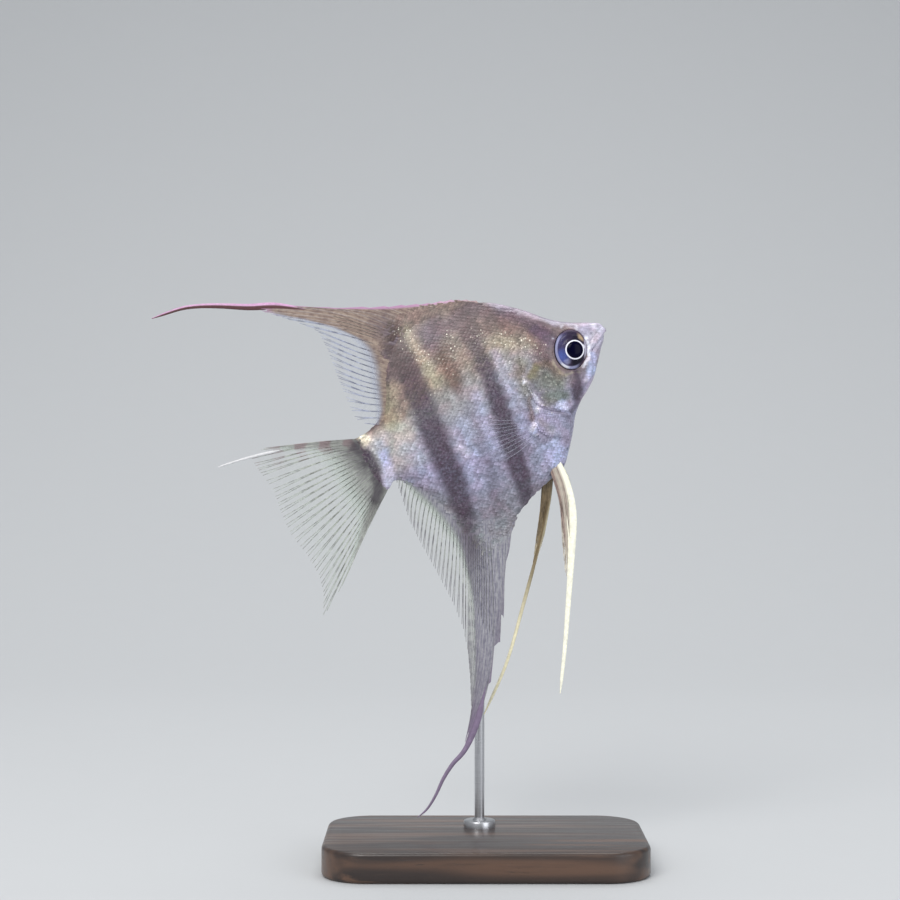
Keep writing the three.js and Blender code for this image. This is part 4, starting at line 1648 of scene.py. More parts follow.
    def _ray_strands(self) -> Iterator[Strand]:
        """Works out the fin's rays, the soft ones forked towards their tips.

        Returns:
            Each ray, or each branch of it, in turn.
        """
        shape, last = self.shape, len(self.ray_at) - 1
        share = np.linspace(0, 1, ALONG + 1)
        for number, at in enumerate(self.ray_at):
            guide, line = np.full_like(share, at), self.line_at(at)
            spiny = at <= shape.last_spine
            forked = not spiny and steps_along(line).sum() >= SHORTEST_FORK
            apart = np.clip((share - shape.branch_from) / (1 - shape.branch_from), 0, 1) ** 1.2
            radius = shape.ray_root + (shape.ray_tip - shape.ray_root) * share**0.75
            radius = radius * (0.86 if forked else 1.0)
            if spiny:
                radius = radius * 1.25 * np.clip((1.02 - share) * 9, 0.25, 1)
            radius = radius * (0.75 + 0.25 * smoothstep(0, 0.1, share))
            swayed = line + self.sway(guide, share)[:, None] * [0, 0, 1]
            veil, rim = self.opaque(guide, share), self.rimmed(guide, share)
            for fork in (-1, 1) if forked else (0,):
                beside = self.line_at(self.ray_at[min(max(number + fork, 0), last)])
                path = swayed + (beside - line) * (0.2 * apart)[:, None]
                yield Strand(number, path, radius, radius, veil, rim)

    def _thread_strands(self) -> Iterator[Strand]:
        """Works out the fin's threads, which are told by a rim above 1 and their own numbers.

        Returns:
            Each thread, in turn.
        """
        share = np.linspace(0, 1, ALONG + 1)
        for number, thread in enumerate(self.shape.threads, FIRST_THREAD):
            swell = 0.08 + 0.92 * smoothstep(0, thread.start, share)
            tip = np.clip((1 - share) * 14, 0.12, 1) ** 0.5 * swell
            wide, thick = (
                (root + (end - root) * share**0.8) / 2 * tip for root, end in (thread.wide, thread.thick)
            )
            line = spaced(with_out(thread.points), ALONG)
            yield Strand(number, line, wide, thick, np.ones_like(share), 1 + share)

    def _sweep(self, rays: Gathering, strand: Strand) -> None:
        """Bends a copy of the rod along a strand.

        Args:
            rays: What the copy is added to, which holds the rod.
            strand: The strand.
        """
        x, y, at = rays.pattern.places.T
        share = np.linspace(0, 1, len(strand.line))
        run = unit(np.gradient(strand.line, axis=0))
        centre, tangent = (
            np.stack([np.interp(at, share, column) for column in rows.T], axis=1)
            for rows in (strand.line, run)
        )
        across = unit(np.cross(tangent, [0.0, 0.0, 1.0]))
        depth = np.cross(across, tangent)
        wide, thick = (np.interp(at, share, half) for half in (strand.wide, strand.thick))
        local = self._sided(centre + across * (x * wide)[:, None] + depth * (y * thick)[:, None])
        rays.add(self.place.world(local), {
            "veil": np.interp(at, share, strand.veil),
            "rim": np.interp(at, share, strand.rim),
            "ray": np.full(len(at), strand.number),
            "along": at * steps_along(strand.line).sum(),
            "bar": self.marks.values(local[:, 0], local[:, 1])["bar"],
            "share": at,
            "top": -x,
        })


def model_rod(sides: int = 8, rings: int = 34) -> Pattern:
    """A rod of unit length and radius, modelled once.

    Args:
        sides: How many sides it has.
        rings: How many rings of faces it has along its length.

    Returns:
        The rod.
    """
    deselect()
    bpy.ops.mesh.primitive_circle_add(vertices=sides, radius=1, fill_type="NGON")
    rod = named("rod_pattern")
    with editing("SELECT"):
        for _ in range(rings):
            rise(1 / rings)
        all_outwards()
    return Pattern.of(rod)


def ray(*points: tuple[float, ...], rays: int = 1) -> Guide:
    """A guide through points, with how many rays there are from it to the next guide."""
    return Guide(points, rays)


DORSAL = FinShape(
    name="dorsal",
    nodes=("dorsal_fin",),
    guides=(
        ray((18.9, 15.8), (19.8, 17.95)),
        ray((20.2, 16.4), (21.4, 19.2)),
        ray((21.4, 16.7), (22.7, 19.95)),
        ray((22.6, 17), (24, 20.7)),
        ray((24.2, 17.6), (26, 21.5)),
        ray((25.9, 18), (28.4, 22.4)),
        ray((27.6, 18.5), (30.5, 23.4)),
        ray((29.2, 18.8), (33.2, 24.7)),
        ray((30.6, 19), (36.4, 26.2)),
        ray((31.8, 19), (35.8, 23.8), (40.2, 28.2)),
        ray((33, 18.8), (39.2, 26), (46.6, 31.7)),
        ray((34.2, 18.6), (42.5, 28.2), (52, 35.1)),
        ray((35.2, 18.4), (46, 30.2), (58.8, 39.4), rays=2),
        ray((36.2, 18), (46.4, 28.6), (58, 37.2), rays=2),
        ray((37.2, 17.4), (46, 26.6), (54.8, 33.8)),
        ray((38.2, 16.7), (45.4, 24.4), (52.3, 31, -0.1)),
        ray((39.3, 15.7), (45, 21.8), (50.3, 28.4, -0.2), rays=3),
        ray((41.2, 13.4), (45.8, 18.2), (50.4, 24.2, -0.4), rays=3),
        ray((42.8, 11), (47, 14.8), (51.2, 19.8, -0.6), rays=3),
        ray((44, 9), (48.2, 12), (51.7, 15.8, -0.5), rays=2),
        ray((45.4, 7.2), (49, 9.2), (52.2, 11.6, -0.3)),
        ray((46.4, 6), (49.4, 7.9), (52.3, 9.4, -0.2)),
        ray((47.8, 5.2), (51.2, 7.7)),
    ),
    threads=(
        Thread((
            (48, 31.5), (55, 36.7), (60.1, 39.35), (64.2, 41.9), (68.1, 44.1), (71.4, 45.5), (75.1, 46.3),
            (78, 46.8),
        ), (2.1, 0.5), (0.85, 0.42), 0.34),
    ),
    clear=((0, 1), (12.6, 1), (13.4, 0.86), (14, 0.6), (15, 0.36), (17, 0.22), (20, 0.2), (22, 0.3)),
    rim=(
        (0, 0.2, 0.3), (4, 0.75, 0.3), (9, 0.95, 0.2), (12.2, 1, 0.12), (13.2, 0.3, 0.08), (14, 0, 0.05),
        (22, 0, 0.05),
    ),
    last_spine=12.1,
    notch=0.045,
    fade=0.26,
)

TAIL = FinShape(
    name="tail",
    nodes=("tail_fin",),
    guides=(
        ray((52, 4.6), (61, 8.9), (71.2, 13.2, 0.3)),
        ray((52, 4.2), (62.5, 8.9), (74.2, 12.9, 0.4)),
        ray((52, 3.8), (62.5, 8), (74.4, 11.2, 0.3), rays=2),
        ray((52, 3.2), (62.5, 6.6), (74.1, 9, 0.1), rays=2),
        ray((52, 2), (62.5, 3.8), (73.7, 4.8, -0.3), rays=3),
        ray((52, 0.5), (63, 0.7), (74.5, 0.6, -0.6), rays=3),
        ray((52, -1), (63, -2.6), (75, -4.2, -0.4), rays=3),
        ray((52, -2.5), (63, -6), (74.1, -9.6), rays=3),
        ray((52, -3.7), (63, -9.2), (74, -14.6, 0.4), rays=2),
        ray((52, -4.1), (63, -10.6), (75, -18, 0.6), rays=2),
        ray((52, -4.5), (63, -11.9), (77.4, -22, 0.8)),
        ray((52, -4.9), (61, -11), (71, -18.4, 0.5)),
    ),
    threads=(
        Thread((
            (68, 11.1, 0.25), (74.2, 12.9, 0.4), (77.6, 13.7, 0.5), (81, 14.4, 0.6),
        ), (0.75, 0.36), (0.6, 0.34)),
    ),
    clear=((0, 0.8), (1, 0.6), (2, 0.36), (5, 0.28), (8, 0.3), (10, 0.44), (11, 0.7)),
    rim=((0, 0, 0.1), (11, 0, 0.1)),
    root_thick=0.95,
    root_reach=3.6,
    branch_from=0.42,
    fade=0.26,
)

ANAL = FinShape(
    name="anal",
    nodes=("anal_fin",),
    guides=(
        ray((32, -21), (35, -24.6)),
        ray((33.2, -21.2), (38.7, -28.9)),
        ray((34.4, -21.4), (38.6, -27.8), (42.7, -34)),
        ray((35.6, -21.4), (40.4, -30), (46.1, -39.9)),
        ray((36.8, -21.2), (42.2, -32), (49.1, -43.8)),
        ray((37.8, -20.8), (44.2, -33.8), (54.6, -49.8)),
        ray((38.6, -20.4), (46.4, -36.2), (55.4, -50.1), (66.2, -59.5), rays=2),
        ray((39.4, -19.8), (47.6, -35.6), (56, -48.6), (64.8, -57.5, -0.2), rays=3),
        ray((40.1, -19), (48, -33.4), (61.2, -53.6), rays=3),
        ray((40.8, -18.1), (48.2, -31.4), (58, -47.5, 0.3), rays=3),
        ray((41.4, -17.1), (48.4, -29.6), (55.6, -42.3, 0.4), rays=2),
        ray((42, -16), (47.8, -26.4), (54, -37.3, 0.5), rays=2),
        ray((42.6, -14.8), (47.8, -23.8), (53.4, -32.3, 0.6), rays=4),
        ray((43.7, -12.4), (48.6, -19.4), (53.2, -25.8, 0.5), rays=4),
        ray((45, -9.9), (49.4, -14.8), (53.2, -19.8, 0.3), rays=4),
        ray((46.6, -6.9), (50.4, -10.4), (53, -14.2, 0.1), rays=3),
        ray((48.6, -4.2), (51.9, -8.2), rays=2),
        ray((50, -3), (51.4, -5.9)),
    ),
    threads=(
        Thread((
            (56, -50.2), (62, -56.4), (66.2, -59.3), (69.2, -60.3), (72.4, -62), (75.6, -64.3), (78.5, -65.8),
            (80.7, -66.2),
        ), (1.7, 0.36), (0.75, 0.36)),
    ),
    clear=((0, 1), (6.2, 1), (7, 0.95), (8, 0.72), (9, 0.5), (11, 0.36), (14, 0.27), (16, 0.3), (17, 0.5)),
    rim=((0, 0.1, 0.1), (4, 0.25, 0.1), (6, 0.85, 0.22), (7, 0.8, 0.2), (8.5, 0, 0.2), (17, 0, 0.1)),
    last_spine=5.2,
    spine_cut=2.6,
    fade=0.24,
)

# what the two feelers have in common
FEELER = dict(root_thick=0.8, root_reach=4.5, web_thick=0.16, ray_root=0.2, notch=0.03, splay=0.12)

PELVIC_RIGHT = FinShape(
    name="pelvic_right",
    nodes=("pelvic_fin_right",),
    guides=(
        ray((20.9, -18, 0.7), (21.3, -22.6, 1.4), (24.4, -30, 2)),
        ray((21.7, -18, 0.8), (22.6, -23.4, 1.6), (26.4, -31.8, 2.3), (31.3, -39.9, 3.1), rays=2),
        ray((22.8, -18.2, 0.8), (24.4, -24.6, 1.8), (27.5, -31.8, 2.4), (30.9, -37.6, 2.9), rays=2),
        ray((23.4, -18.5, 0.7), (24.9, -24.8, 1.7), (28.7, -32.8, 2.4)),
    ),
    threads=(
        Thread((
            (21.2, -19.4, 0.9), (21.6, -22.8, 1.5), (24.6, -29.8, 2.1), (28, -35.2, 2.6), (32.2, -41.5, 3.2),
            (38.2, -50.4, 4), (43.6, -58, 4.5),
        ), (1.9, 0.6), (0.8, 0.45)),
        Thread(((23.8, -25, 1.8), (27.2, -32.6, 2.45), (31.6, -39.8, 3.1)), (0.45, 0.24), (0.45, 0.24), 0.6),
    ),
    clear=((0, 0.9), (1, 0.85), (3, 0.7)),
    rim=((0, 1, 3), (0.8, 1, 3), (1.25, 0.1, 3), (1.7, 0.35, 3), (2.2, 0, 3), (3, 0, 3)),
    **FEELER,
)

PELVIC_LEFT = FinShape(
    name="pelvic_left",
    nodes=("pelvic_fin_left",),
    guides=(
        ray((22.4, -18.2, 0.7), (26, -23.6, 1.5), (31, -29.8, 2.2)),
        ray((23.2, -18.2, 0.8), (27.4, -24.7, 1.8), (33.8, -32, 2.5), (38.4, -37.1, 2.9), rays=2),
        ray((24.1, -18.4, 0.8), (28.2, -24.8, 1.8), (35.8, -33.7, 2.6), rays=2),
        ray((25, -18.6, 0.7), (28.8, -24.4, 1.6), (32.6, -29.4, 2.2)),
    ),
    threads=(
        Thread((
            (23, -19, 0.9), (26.6, -23.8, 1.6), (33, -31.1, 2.4), (41.4, -39.8, 3.2), (50.3, -48.6, 3.8),
            (59.2, -55.3, 4.2),
        ), (0.95, 0.56), (0.65, 0.42), 0.5),
    ),
    clear=((0, 0.9), (1, 0.85), (3, 0.7)),
    rim=((0, 0.35, 0.8), (1, 0.1, 0.8), (3, 0, 0.2)),
    **FEELER,
    side=Side.LEFT,
)


def pectoral(side: Side) -> FinShape:
    """The clear fan behind the gill cover on one side.

    Args:
        side: Which side.

    Returns:
        Its shape.
    """
    return FinShape(
        name=f"pectoral_{side.word}",
        nodes=(f"pectoral_fin_{side.word}",),
        guides=(
            ray((20.6, -8.2, 3.2), (27, -5.4, 5.2), (32.6, -1.6, 6.6), rays=3),
            ray((21, -9.2, 3.2), (28, -7.3, 5.6), (34.6, -5, 7.5), rays=3),
            ray((21.3, -10.2, 3.1), (28, -9.8, 5.6), (34.4, -9, 7.9), rays=3),
            ray((21.5, -11.1, 3), (26.6, -12.2, 5.2), (31.6, -12.6, 7.2)),
        ),
        threads=(),
        clear=((0, 0.14), (3, 0.1)),
        rim=((0, 0, 0.1), (3, 0, 0.1)),
        root_thick=0.9,
        root_reach=2.6,
        web_thick=0.09,
        ray_root=0.12,
        ray_tip=0.04,
        notch=0.035,
        splay=0.18,
        branch_from=0.45,
        fade=0.1,
        side=side,
    )


# ---- the stand


@dataclass
class Stand:
    """The plain display stand: a stained wooden plinth and a brushed steel rod to the far flank."""

    place: FishFrame
    body: Body
    corner: float = 9 * MM
    bevel: float = 0.8 * MM
    rod_radius: float = 1 * MM
    collar_radius: float = 3.2 * MM
    collar_height: float = 1.4 * MM
    collar_edge: float = 0.25 * MM
    shoulder: float = 0.5 * MM
    elbow: float = 4 * MM

    def plinth(self, material: Material) -> Piece:
        """The wooden plinth, its corners and its upper and lower edges rounded.

        Args:
            material: The wood's finish.

        Returns:
            The piece.
        """
        low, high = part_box("stand_base")
        deselect()
        bpy.ops.mesh.primitive_cube_add(size=1, location=(low + high) / 2)
        bpy.context.active_object.scale = high - low
        block = named("stand_plinth")
        choose_edges(block, lambda a, b: abs(a.z - b.z) > 1e-4)
        with editing():
            bpy.ops.mesh.bevel(offset=self.corner, segments=14, affect="EDGES")

        def level(a: Vector, b: Vector) -> bool:
            """Whether an edge lies along the top or the bottom."""
            return abs(a.z - b.z) < 1e-6 and (a.z > high.z - 1e-5 or a.z < low.z + 1e-5)

        choose_edges(block, level)
        with editing():
            bpy.ops.mesh.bevel(offset=self.bevel, segments=4, affect="EDGES")
        dress(block, 30, material, "stand_wood", "stand_base")
        return block

    def _flank(self, x: float, level: float) -> float:
        """How far out the fish's flank is where a level rod meets it.

        Args:
            x: The rod's place along the row's X axis, in metres.
            level: Its height, in metres.

        Returns:
            The distance in metres.
        """
        dx, dz = self.place.snout[0] - x, self.place.snout[2] - level
        c, s = math.cos(self.place.nose_up), math.sin(self.place.nose_up)
        back, up = (c * dx + s * dz) / MM, (s * dx - c * dz) / MM
        return float(self.body.half(np.array([back]), np.array([up]))[0]) * MM

    def rod(self, material: Material) -> Piece:
        """The rod with its collar: up from the plinth, round an elbow and in to the flank.

        Args:
            material: The steel's finish.

        Returns:
            The piece.
        """
        low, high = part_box("stand_rod")
        x, y = (low.x + high.x) / 2, high.y - self.collar_radius
        foot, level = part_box("stand_base")[1].z, high.z - self.rod_radius
        bend, turn = level - self.elbow, self.elbow * math.pi / 2
        straight = bend - (foot + self.collar_height + self.shoulder)
        reach = (y - self.elbow) - (self._flank(x, level) - self.shoulder)
        radius = self.collar_radius
        deselect()
        bpy.ops.mesh.primitive_circle_add(vertices=40, radius=radius, location=(x, y, foot), fill_type="NGON")
        rod = named("stand_post")
        edge, chamfer = self.collar_edge, 1 - 0.3 * self.collar_edge / radius
        upper = radius * chamfer * (1 - 0.8 * edge / radius)
        neck = self.rod_radius + self.shoulder
        with editing("SELECT"):
            rise(self.collar_height - edge)
            for up, before, after in (
                (edge * 0.6, radius, radius * chamfer), (edge * 0.4, radius * chamfer, upper),
                (0, upper, neck), (self.shoulder, neck, self.rod_radius),
            ):
                rise(up)
                bpy.ops.transform.resize(value=(after / before, after / before, 1), center_override=(x, y, 0))
            for step in (*[straight / 6] * 6, *[turn / 12] * 12, reach):
                rise(step)
            bpy.ops.mesh.select_all(action="SELECT")
            bpy.ops.mesh.remove_doubles(threshold=1e-7)
            all_outwards()
        at = places_of(rod)
        over = np.maximum(at[:, 2] - bend, 0)
        angle, past = np.minimum(over / self.elbow, math.pi / 2), np.maximum(over - turn, 0)
        pivot = y - self.elbow
        arm = at[:, 1] - pivot
        bent = np.column_stack([at[:, 0], pivot + arm * np.cos(angle) - past, bend + arm * np.sin(angle)])
        move_to(rod, np.where((over > 0)[:, None], bent, at))
        dress(rod, 35, material, "stand_steel", "stand_rod")
        return rod


# ---- finishes


def shade(red: int, green: int, blue: int) -> tuple[float, ...]:
    """A colour given as screen values from 0 to 255.

    Args:
        red: The red value.
        green: The green value.
        blue: The blue value.

    Returns:
        The light that it stands for, with a last part of 1.
    """
    parts = (value / 255 for value in (red, green, blue))
    return (*(v / 12.92 if v <= 0.04045 else ((v + 0.055) / 1.055) ** 2.4 for v in parts), 1.0)


class Wire:
    """An output of a node, which sums can be written on, so that a finish reads as a list of steps."""

    def __init__(self, tree: "Tree", socket: bpy.types.NodeSocket) -> None:
        """Takes the tree that the output is in, and the output."""
        self.tree, self.socket = tree, socket

    def __add__(self, other: "Value") -> "Wire":
        """The two together."""
        return self.tree.math("ADD", self, other)

    def __sub__(self, other: "Value") -> "Wire":
        """This less the other."""
        return self.tree.math("SUBTRACT", self, other)

    def __rsub__(self, other: "Value") -> "Wire":
        """The other less this."""
        return self.tree.math("SUBTRACT", other, self)

    def __mul__(self, other: "Value") -> "Wire":
        """The one times the other."""
        return self.tree.math("MULTIPLY", self, other)

    def __truediv__(self, other: "Value") -> "Wire":
        """This divided by the other."""
        return self.tree.math("DIVIDE", self, other)

    def most(self, other: "Value") -> "Wire":
        """The larger of the two."""
        return self.tree.math("MAXIMUM", self, other)

    def least(self, other: "Value") -> "Wire":
        """The smaller of the two."""
        return self.tree.math("MINIMUM", self, other)

    def swing(self, top: float) -> "Wire":
        """Its way up and down again between 0 and top."""
        return self.tree.math("PINGPONG", self, top)

    def fit(self, low: "Value", high: "Value", to_low: float = 0.0, to_high: float = 1.0) -> "Wire":
        """Maps it smoothly from one range to another, held at its ends.

        Args:
            low: What becomes to_low.
            high: What becomes to_high.
            to_low: Its value at low.
            to_high: Its value at high.

        Returns:
            The mapped number.
        """
        given = {"Value": self, "From Min": low, "From Max": high, "To Min": to_low, "To Max": to_high}
        return self.tree.wire("MapRange", "Result", given, interpolation_type="SMOOTHSTEP")


Value = Wire | float | tuple[float, ...]


class Tree:
    """A node tree, with short words for building in it."""

    def __init__(self, tree: bpy.types.NodeTree) -> None:
        """Takes the tree to build in."""
        self.tree = tree

    def put(self, socket: bpy.types.NodeSocket, value: Value) -> None:
        """Links an input to a wire, or sets it to a plain value.

        Args:
            socket: The input.
            value: The wire or value.
        """
        if isinstance(value, Wire):
            self.tree.links.new(value.socket, socket)
        else:
            socket.default_value = value

    def node(self, kind: str, given: dict[str | int, Value], **settings: object) -> bpy.types.Node:
        """Adds a node.

        Args:
            kind: Its type, without the words that every shader node's type starts with.
            given: What goes into its inputs, by name or number.
            settings: Its own settings.

        Returns:
            The node.
        """
        made = self.tree.nodes.new(f"ShaderNode{kind}")
        for name, value in settings.items():
            setattr(made, name, value)
        for name, value in given.items():
            self.put(made.inputs[name], value)
        return made

    def wire(self, kind: str, output: str | int, given: dict[str | int, Value], **settings: object) -> Wire:
        """The same as node, but it gives one of the node's outputs, by name or number."""
        return Wire(self, self.node(kind, given, **settings).outputs[output])

    def math(self, operation: str, a: Value, b: Value = 0.0) -> Wire:
        """A sum on one or two numbers."""
        return self.wire("Math", 0, {0: a, 1: b}, operation=operation)

    def blend(self, share: Value, a: Value, b: Value, mode: str = "MIX") -> Wire:
        """One colour with another laid over it by a share."""
        given = {"Factor": share, "A": a, "B": b}
        return self.wire("Mix", "Result", given, data_type="RGBA", blend_type=mode)

    def dim(self, colour: Value, by: Wire) -> Wire:
        """A colour made lighter or darker by a number."""
        return self.blend(1.0, colour, self.wire("CombineColor", 0, {0: by, 1: by, 2: by}), "MULTIPLY")

    def apart(self, whole: Wire, kind: str = "XYZ") -> list[Wire]:
        """The three parts of a vector, or of a colour if the kind is Color."""
        parts = self.node(f"Separate{kind}", {0: whole}).outputs
        return [Wire(self, parts[k]) for k in range(3)]

    def ramp(self, value: Wire, stops: tuple[tuple[float, tuple[float, ...]], ...]) -> Wire:
        """A colour that changes with a number.

        Args:
            value: The number.
            stops: Its places and their colours, in order.

        Returns:
            The colour.
        """
        node = self.node("ValToRGB", {0: value})
        node.color_ramp.interpolation = "EASE"
        elements = node.color_ramp.elements
        elements[0].position, elements[0].color = stops[0]
        elements[1].position, elements[1].color = stops[-1]
        for at, colour in stops[1:-1]:
            elements.new(at).color = colour
        return Wire(self, node.outputs[0])

    def noise(self, at: Wire, scale: float, detail: float = 2.0, rough: float = 0.5) -> Wire:
        """An even cloudy pattern."""
        given = {"Vector": at, "Scale": scale, "Detail": detail, "Roughness": rough}
        return self.wire("TexNoise", "Fac", given)

    def stretched(self, at: Wire, scale: tuple[float, ...], turn: tuple[float, ...] = (0, 0, 0)) -> Wire:
        """Places scaled and turned, for patterns that are longer one way."""
        return self.wire("Mapping", 0, {"Vector": at, "Scale": scale, "Rotation": turn})

    def kept(self, name: str) -> Wire:
        """A number kept on the piece under a name."""
        return self.wire("Attribute", "Fac", {}, attribute_name=name)

    def unrolled(self, name: str) -> list[Wire]:
        """The place on one of the piece's maps, as its two parts and a third that is 0."""
        return self.apart(self.wire("UVMap", 0, {}, uv_map=name))

    def here(self) -> Wire:
        """The place on the object, in metres."""
        return self.wire("TexCoord", "Object", {})

    def group(self, kind: bpy.types.NodeTree, **given: Value) -> dict[str, Wire]:
        """Places a node group.

        Args:
            kind: The group.
            given: What goes into its inputs, by name.

        Returns:
            Its outputs by name.
        """
        made = self.node("Group", {}, node_tree=kind)
        for name, value in given.items():
            self.put(made.inputs[name], value)
        return {output.name: Wire(self, output) for output in made.outputs}

    def bump(self, height: Wire, strength: float, distance: float) -> Wire:
        """Normals for a surface with this height."""
        return self.wire("Bump", "Normal", {"Height": height, "Strength": strength, "Distance": distance})


class Group(Tree):
    """A node group in the making."""

    def __init__(self, name: str, inputs: tuple[str, ...], outputs: dict[str, str]) -> None:
        """Starts the group.

        Args:
            name: Its name.
            inputs: The names of its inputs, each a plain number.
            outputs: Its outputs' kinds by name, each Float, Color or Vector.
        """
        super().__init__(bpy.data.node_groups.new(name, "ShaderNodeTree"))
        for key in inputs:
            self.tree.interface.new_socket(name=key, in_out="INPUT", socket_type="NodeSocketFloat")
        for key, kind in outputs.items():
            self.tree.interface.new_socket(name=key, in_out="OUTPUT", socket_type=f"NodeSocket{kind}")
        entry = self.tree.nodes.new("NodeGroupInput")
        self.given = {key: Wire(self, entry.outputs[key]) for key in inputs}

    def finished(self, values: dict[str, Value]) -> bpy.types.NodeTree:
        """Finishes the group.

        Args:
            values: What its outputs give, by name.

        Returns:
            The group, ready to be placed.
        """
        leave = self.tree.nodes.new("NodeGroupOutput")
        for name, value in values.items():
            self.put(leave.inputs[name], value)
        return self.tree


class Surface(Tree):
    """A material in the making, round its one shader."""

    def __init__(self, name: str) -> None:
        """Makes the material.

        Args:
            name: Its name.
        """
        self.material = bpy.data.materials.new(name)
        self.material.use_nodes = True
        super().__init__(self.material.node_tree)

    def finished(self, values: dict[str, Value]) -> Material:
        """Finishes the material.

        Args:
            values: What goes into its shader, by name.

        Returns:
            The material.
        """
        shader = self.tree.nodes["Principled BSDF"]
        for name, value in values.items():
            self.put(shader.inputs[name], value)
        return self.material


@dataclass(frozen=True)
class SkinColours:
    """The colours of the body, laid over each other by its markings."""

    place: FishFrame
    levels: tuple = (
        (-34, shade(144, 146, 144)), (-26, shade(140, 141, 146)), (-20.5, shade(136, 132, 144)),
        (-14, shade(144, 141, 162)), (-9, shade(150, 147, 172)), (-2, shade(159, 155, 170)),
        (3, shade(163, 158, 162)), (8, shade(147, 132, 122)), (13, shade(110, 91, 92)),
        (17.5, shade(105, 88, 92)), (20.5, shade(136, 118, 110)), (31, shade(156, 138, 128)),
    )
    face: tuple = shade(118, 99, 101)
    rear: tuple = shade(170, 165, 166)
    bar: tuple = shade(61, 46, 63)
    bar_back: tuple = shade(78, 62, 62)
    # the colour of the white marks, which are partly painted highlights
    white: tuple = shade(232, 230, 242)
    # the colour of the painted glints
    gold: tuple = shade(255, 249, 232)
    tints: tuple = ((1.05, 0.97, 0.99, 1), (0.96, 1.02, 1.02, 1))
    inks: tuple = (
        ("brown", shade(112, 90, 76)), ("plum", shade(98, 79, 96)), ("ash", shade(172, 163, 184)),
        ("olive", shade(122, 114, 84)), ("sage", shade(108, 114, 104)), ("straw", shade(180, 168, 142)),
        ("cream", shade(222, 218, 194)), ("blue", shade(190, 196, 230)),
    )

    def place_group(self) -> bpy.types.NodeTree:
        """Makes the group that finds a place in the fish's own frame.

        Returns:
            The group, which gives the place, how far back it is and how far up.
        """
        tree = Group("Fish place", (), {"Back": "Float", "Up": "Float", "Place": "Vector"})
        here = tree.here()
        c, s = math.cos(self.place.nose_up), math.sin(self.place.nose_up)
        x, _, z = self.place.snout
        found = {"Place": here}
        for name, axis in (("Back", (-c, 0, -s)), ("Up", (-s, 0, c))):
            along = tree.wire("VectorMath", "Value", {0: here, 1: axis}, operation="DOT_PRODUCT")
            found[name] = (along - (axis[0] * x + axis[2] * z)) * (1 / MM)
        return tree.finished(found)

    def _ground(self, tree: Tree, back: Wire, up: Wire, broad: Wire) -> Wire:
        """The colour between the marks: it changes with height, and on the face and the tail stalk.

        Args:
            tree: The tree to build in.
            back: How far back the place is.
            up: How far up it is.
            broad: A broad cloudy pattern, to make the changes uneven.

        Returns:
            The colour.
        """
        low, high = self.levels[0][0], self.levels[-1][0]
        level = up * back.fit(40, 50, 1.0, 2.1) + (broad - 0.5) * 6.0
        stops = tuple(((at - low) / (high - low), colour) for at, colour in self.levels)
        ground = tree.ramp((level - low) / (high - low), stops)
        ground = tree.blend(back.fit(18.5, 13.5) * up.fit(-7, -3), ground, self.face)
        rear = (back + broad * 3).fit(43, 48) * up.fit(5.6, 3.2) * up.fit(-7, -2)
        return tree.blend(rear, ground, self.rear)

    def _glints(self, tree: Tree, here: Wire, gold: Wire) -> Wire:
        """How strongly the painted gold glints show: bright specks that stand for light caught by the scales.

        Args:
            tree: The tree to build in.
            here: The place.
            gold: How thickly the painted glints are strewn.

        Returns:
            A number from 0 to 1.
        """
        cell = tree.node("TexVoronoi", {"Vector": here, "Scale": 2500})
        luck, bright, strong = tree.apart(Wire(tree, cell.outputs["Color"]), "Color")
        size = bright * 0.4 + 0.22
        fleck = Wire(tree, cell.outputs["Distance"]).fit(size, size * 0.3)
        chosen = tree.math("GREATER_THAN", gold * 0.5 + luck, 0.998)
        return chosen * fleck * (strong * 0.65 + 0.25) * gold.fit(0.0, 0.3, 0.1, 1.0)

    def group(self) -> bpy.types.NodeTree:
        """The group that gives the body's colour with its painted glints, how silvery it is, and its fine
        relief.

        Returns:
            The group, which takes the marks and a tone.
        """
        outputs = {"Colour": "Color", "Shine": "Float", "Height": "Float"}
        tree = Group("Skin colours", (*MARKS, "tone"), outputs)
        marks, spot = tree.given, tree.group(self.place_group())
        here, back, up = spot["Place"], spot["Back"], spot["Up"]
        fine, patches = tree.noise(here, 2100, 3, 0.62), tree.noise(here, 640, 3, 0.6)
        colour = self._ground(tree, back, up, tree.noise(here, 190, 3))
        for name, ink in self.inks:
            colour = tree.blend(marks[name], colour, ink)
        dark = tree.blend(up.fit(6, 17), self.bar, self.bar_back)
        ragged = (patches - 0.5) * 0.5 + marks["bar"]
        patchy = ragged.fit(-0.04, 1.06) * fine.fit(0.25, 0.65, 0.62, 1.0) * marks["bar"].fit(0.0, 0.2)
        colour = tree.blend(patchy, colour, dark)
        # white marks: pale skin and painted highlights
        colour = tree.blend(marks["white"], colour, self.white)
        tint = tree.blend(tree.noise(here, 330, 2).fit(0.35, 0.65), *self.tints)
        colour = tree.blend(1.0, colour, tint, "MULTIPLY")
        dashes = tree.noise(tree.stretched(here, (1000, 1000, 3000)), 1.0, 2, 0.6)
        mottle = fine.fit(0.3, 0.7, 0.84, 1.16) * patches.fit(0.3, 0.7, 0.86, 1.14)
        mottle = mottle * dashes.fit(0.3, 0.7, 0.84, 1.16)
        colour = tree.dim(colour, mottle * (marks["tone"] * 0.42 + 0.79))
        # painted glints: bright gold specks laid over the colour
        glints = self._glints(tree, here, marks["gold"])
        silvery = up.fit(17, 4) * (1.0 - marks["bar"] * 0.75)
        return tree.finished({
            "Colour": tree.blend(glints, colour, self.gold),
            "Shine": (silvery * 0.8).most(glints),
            "Height": tree.noise(here, 3200, 2) * 0.5 + fine,
        })

    def place_in(self, tree: Tree, group: bpy.types.NodeTree, tone: Value) -> dict[str, Wire]:
        """Places the group in a material, fed by the marks that the piece keeps."""
        return tree.group(group, tone=tone, **{name: tree.kept(name) for name in MARKS})


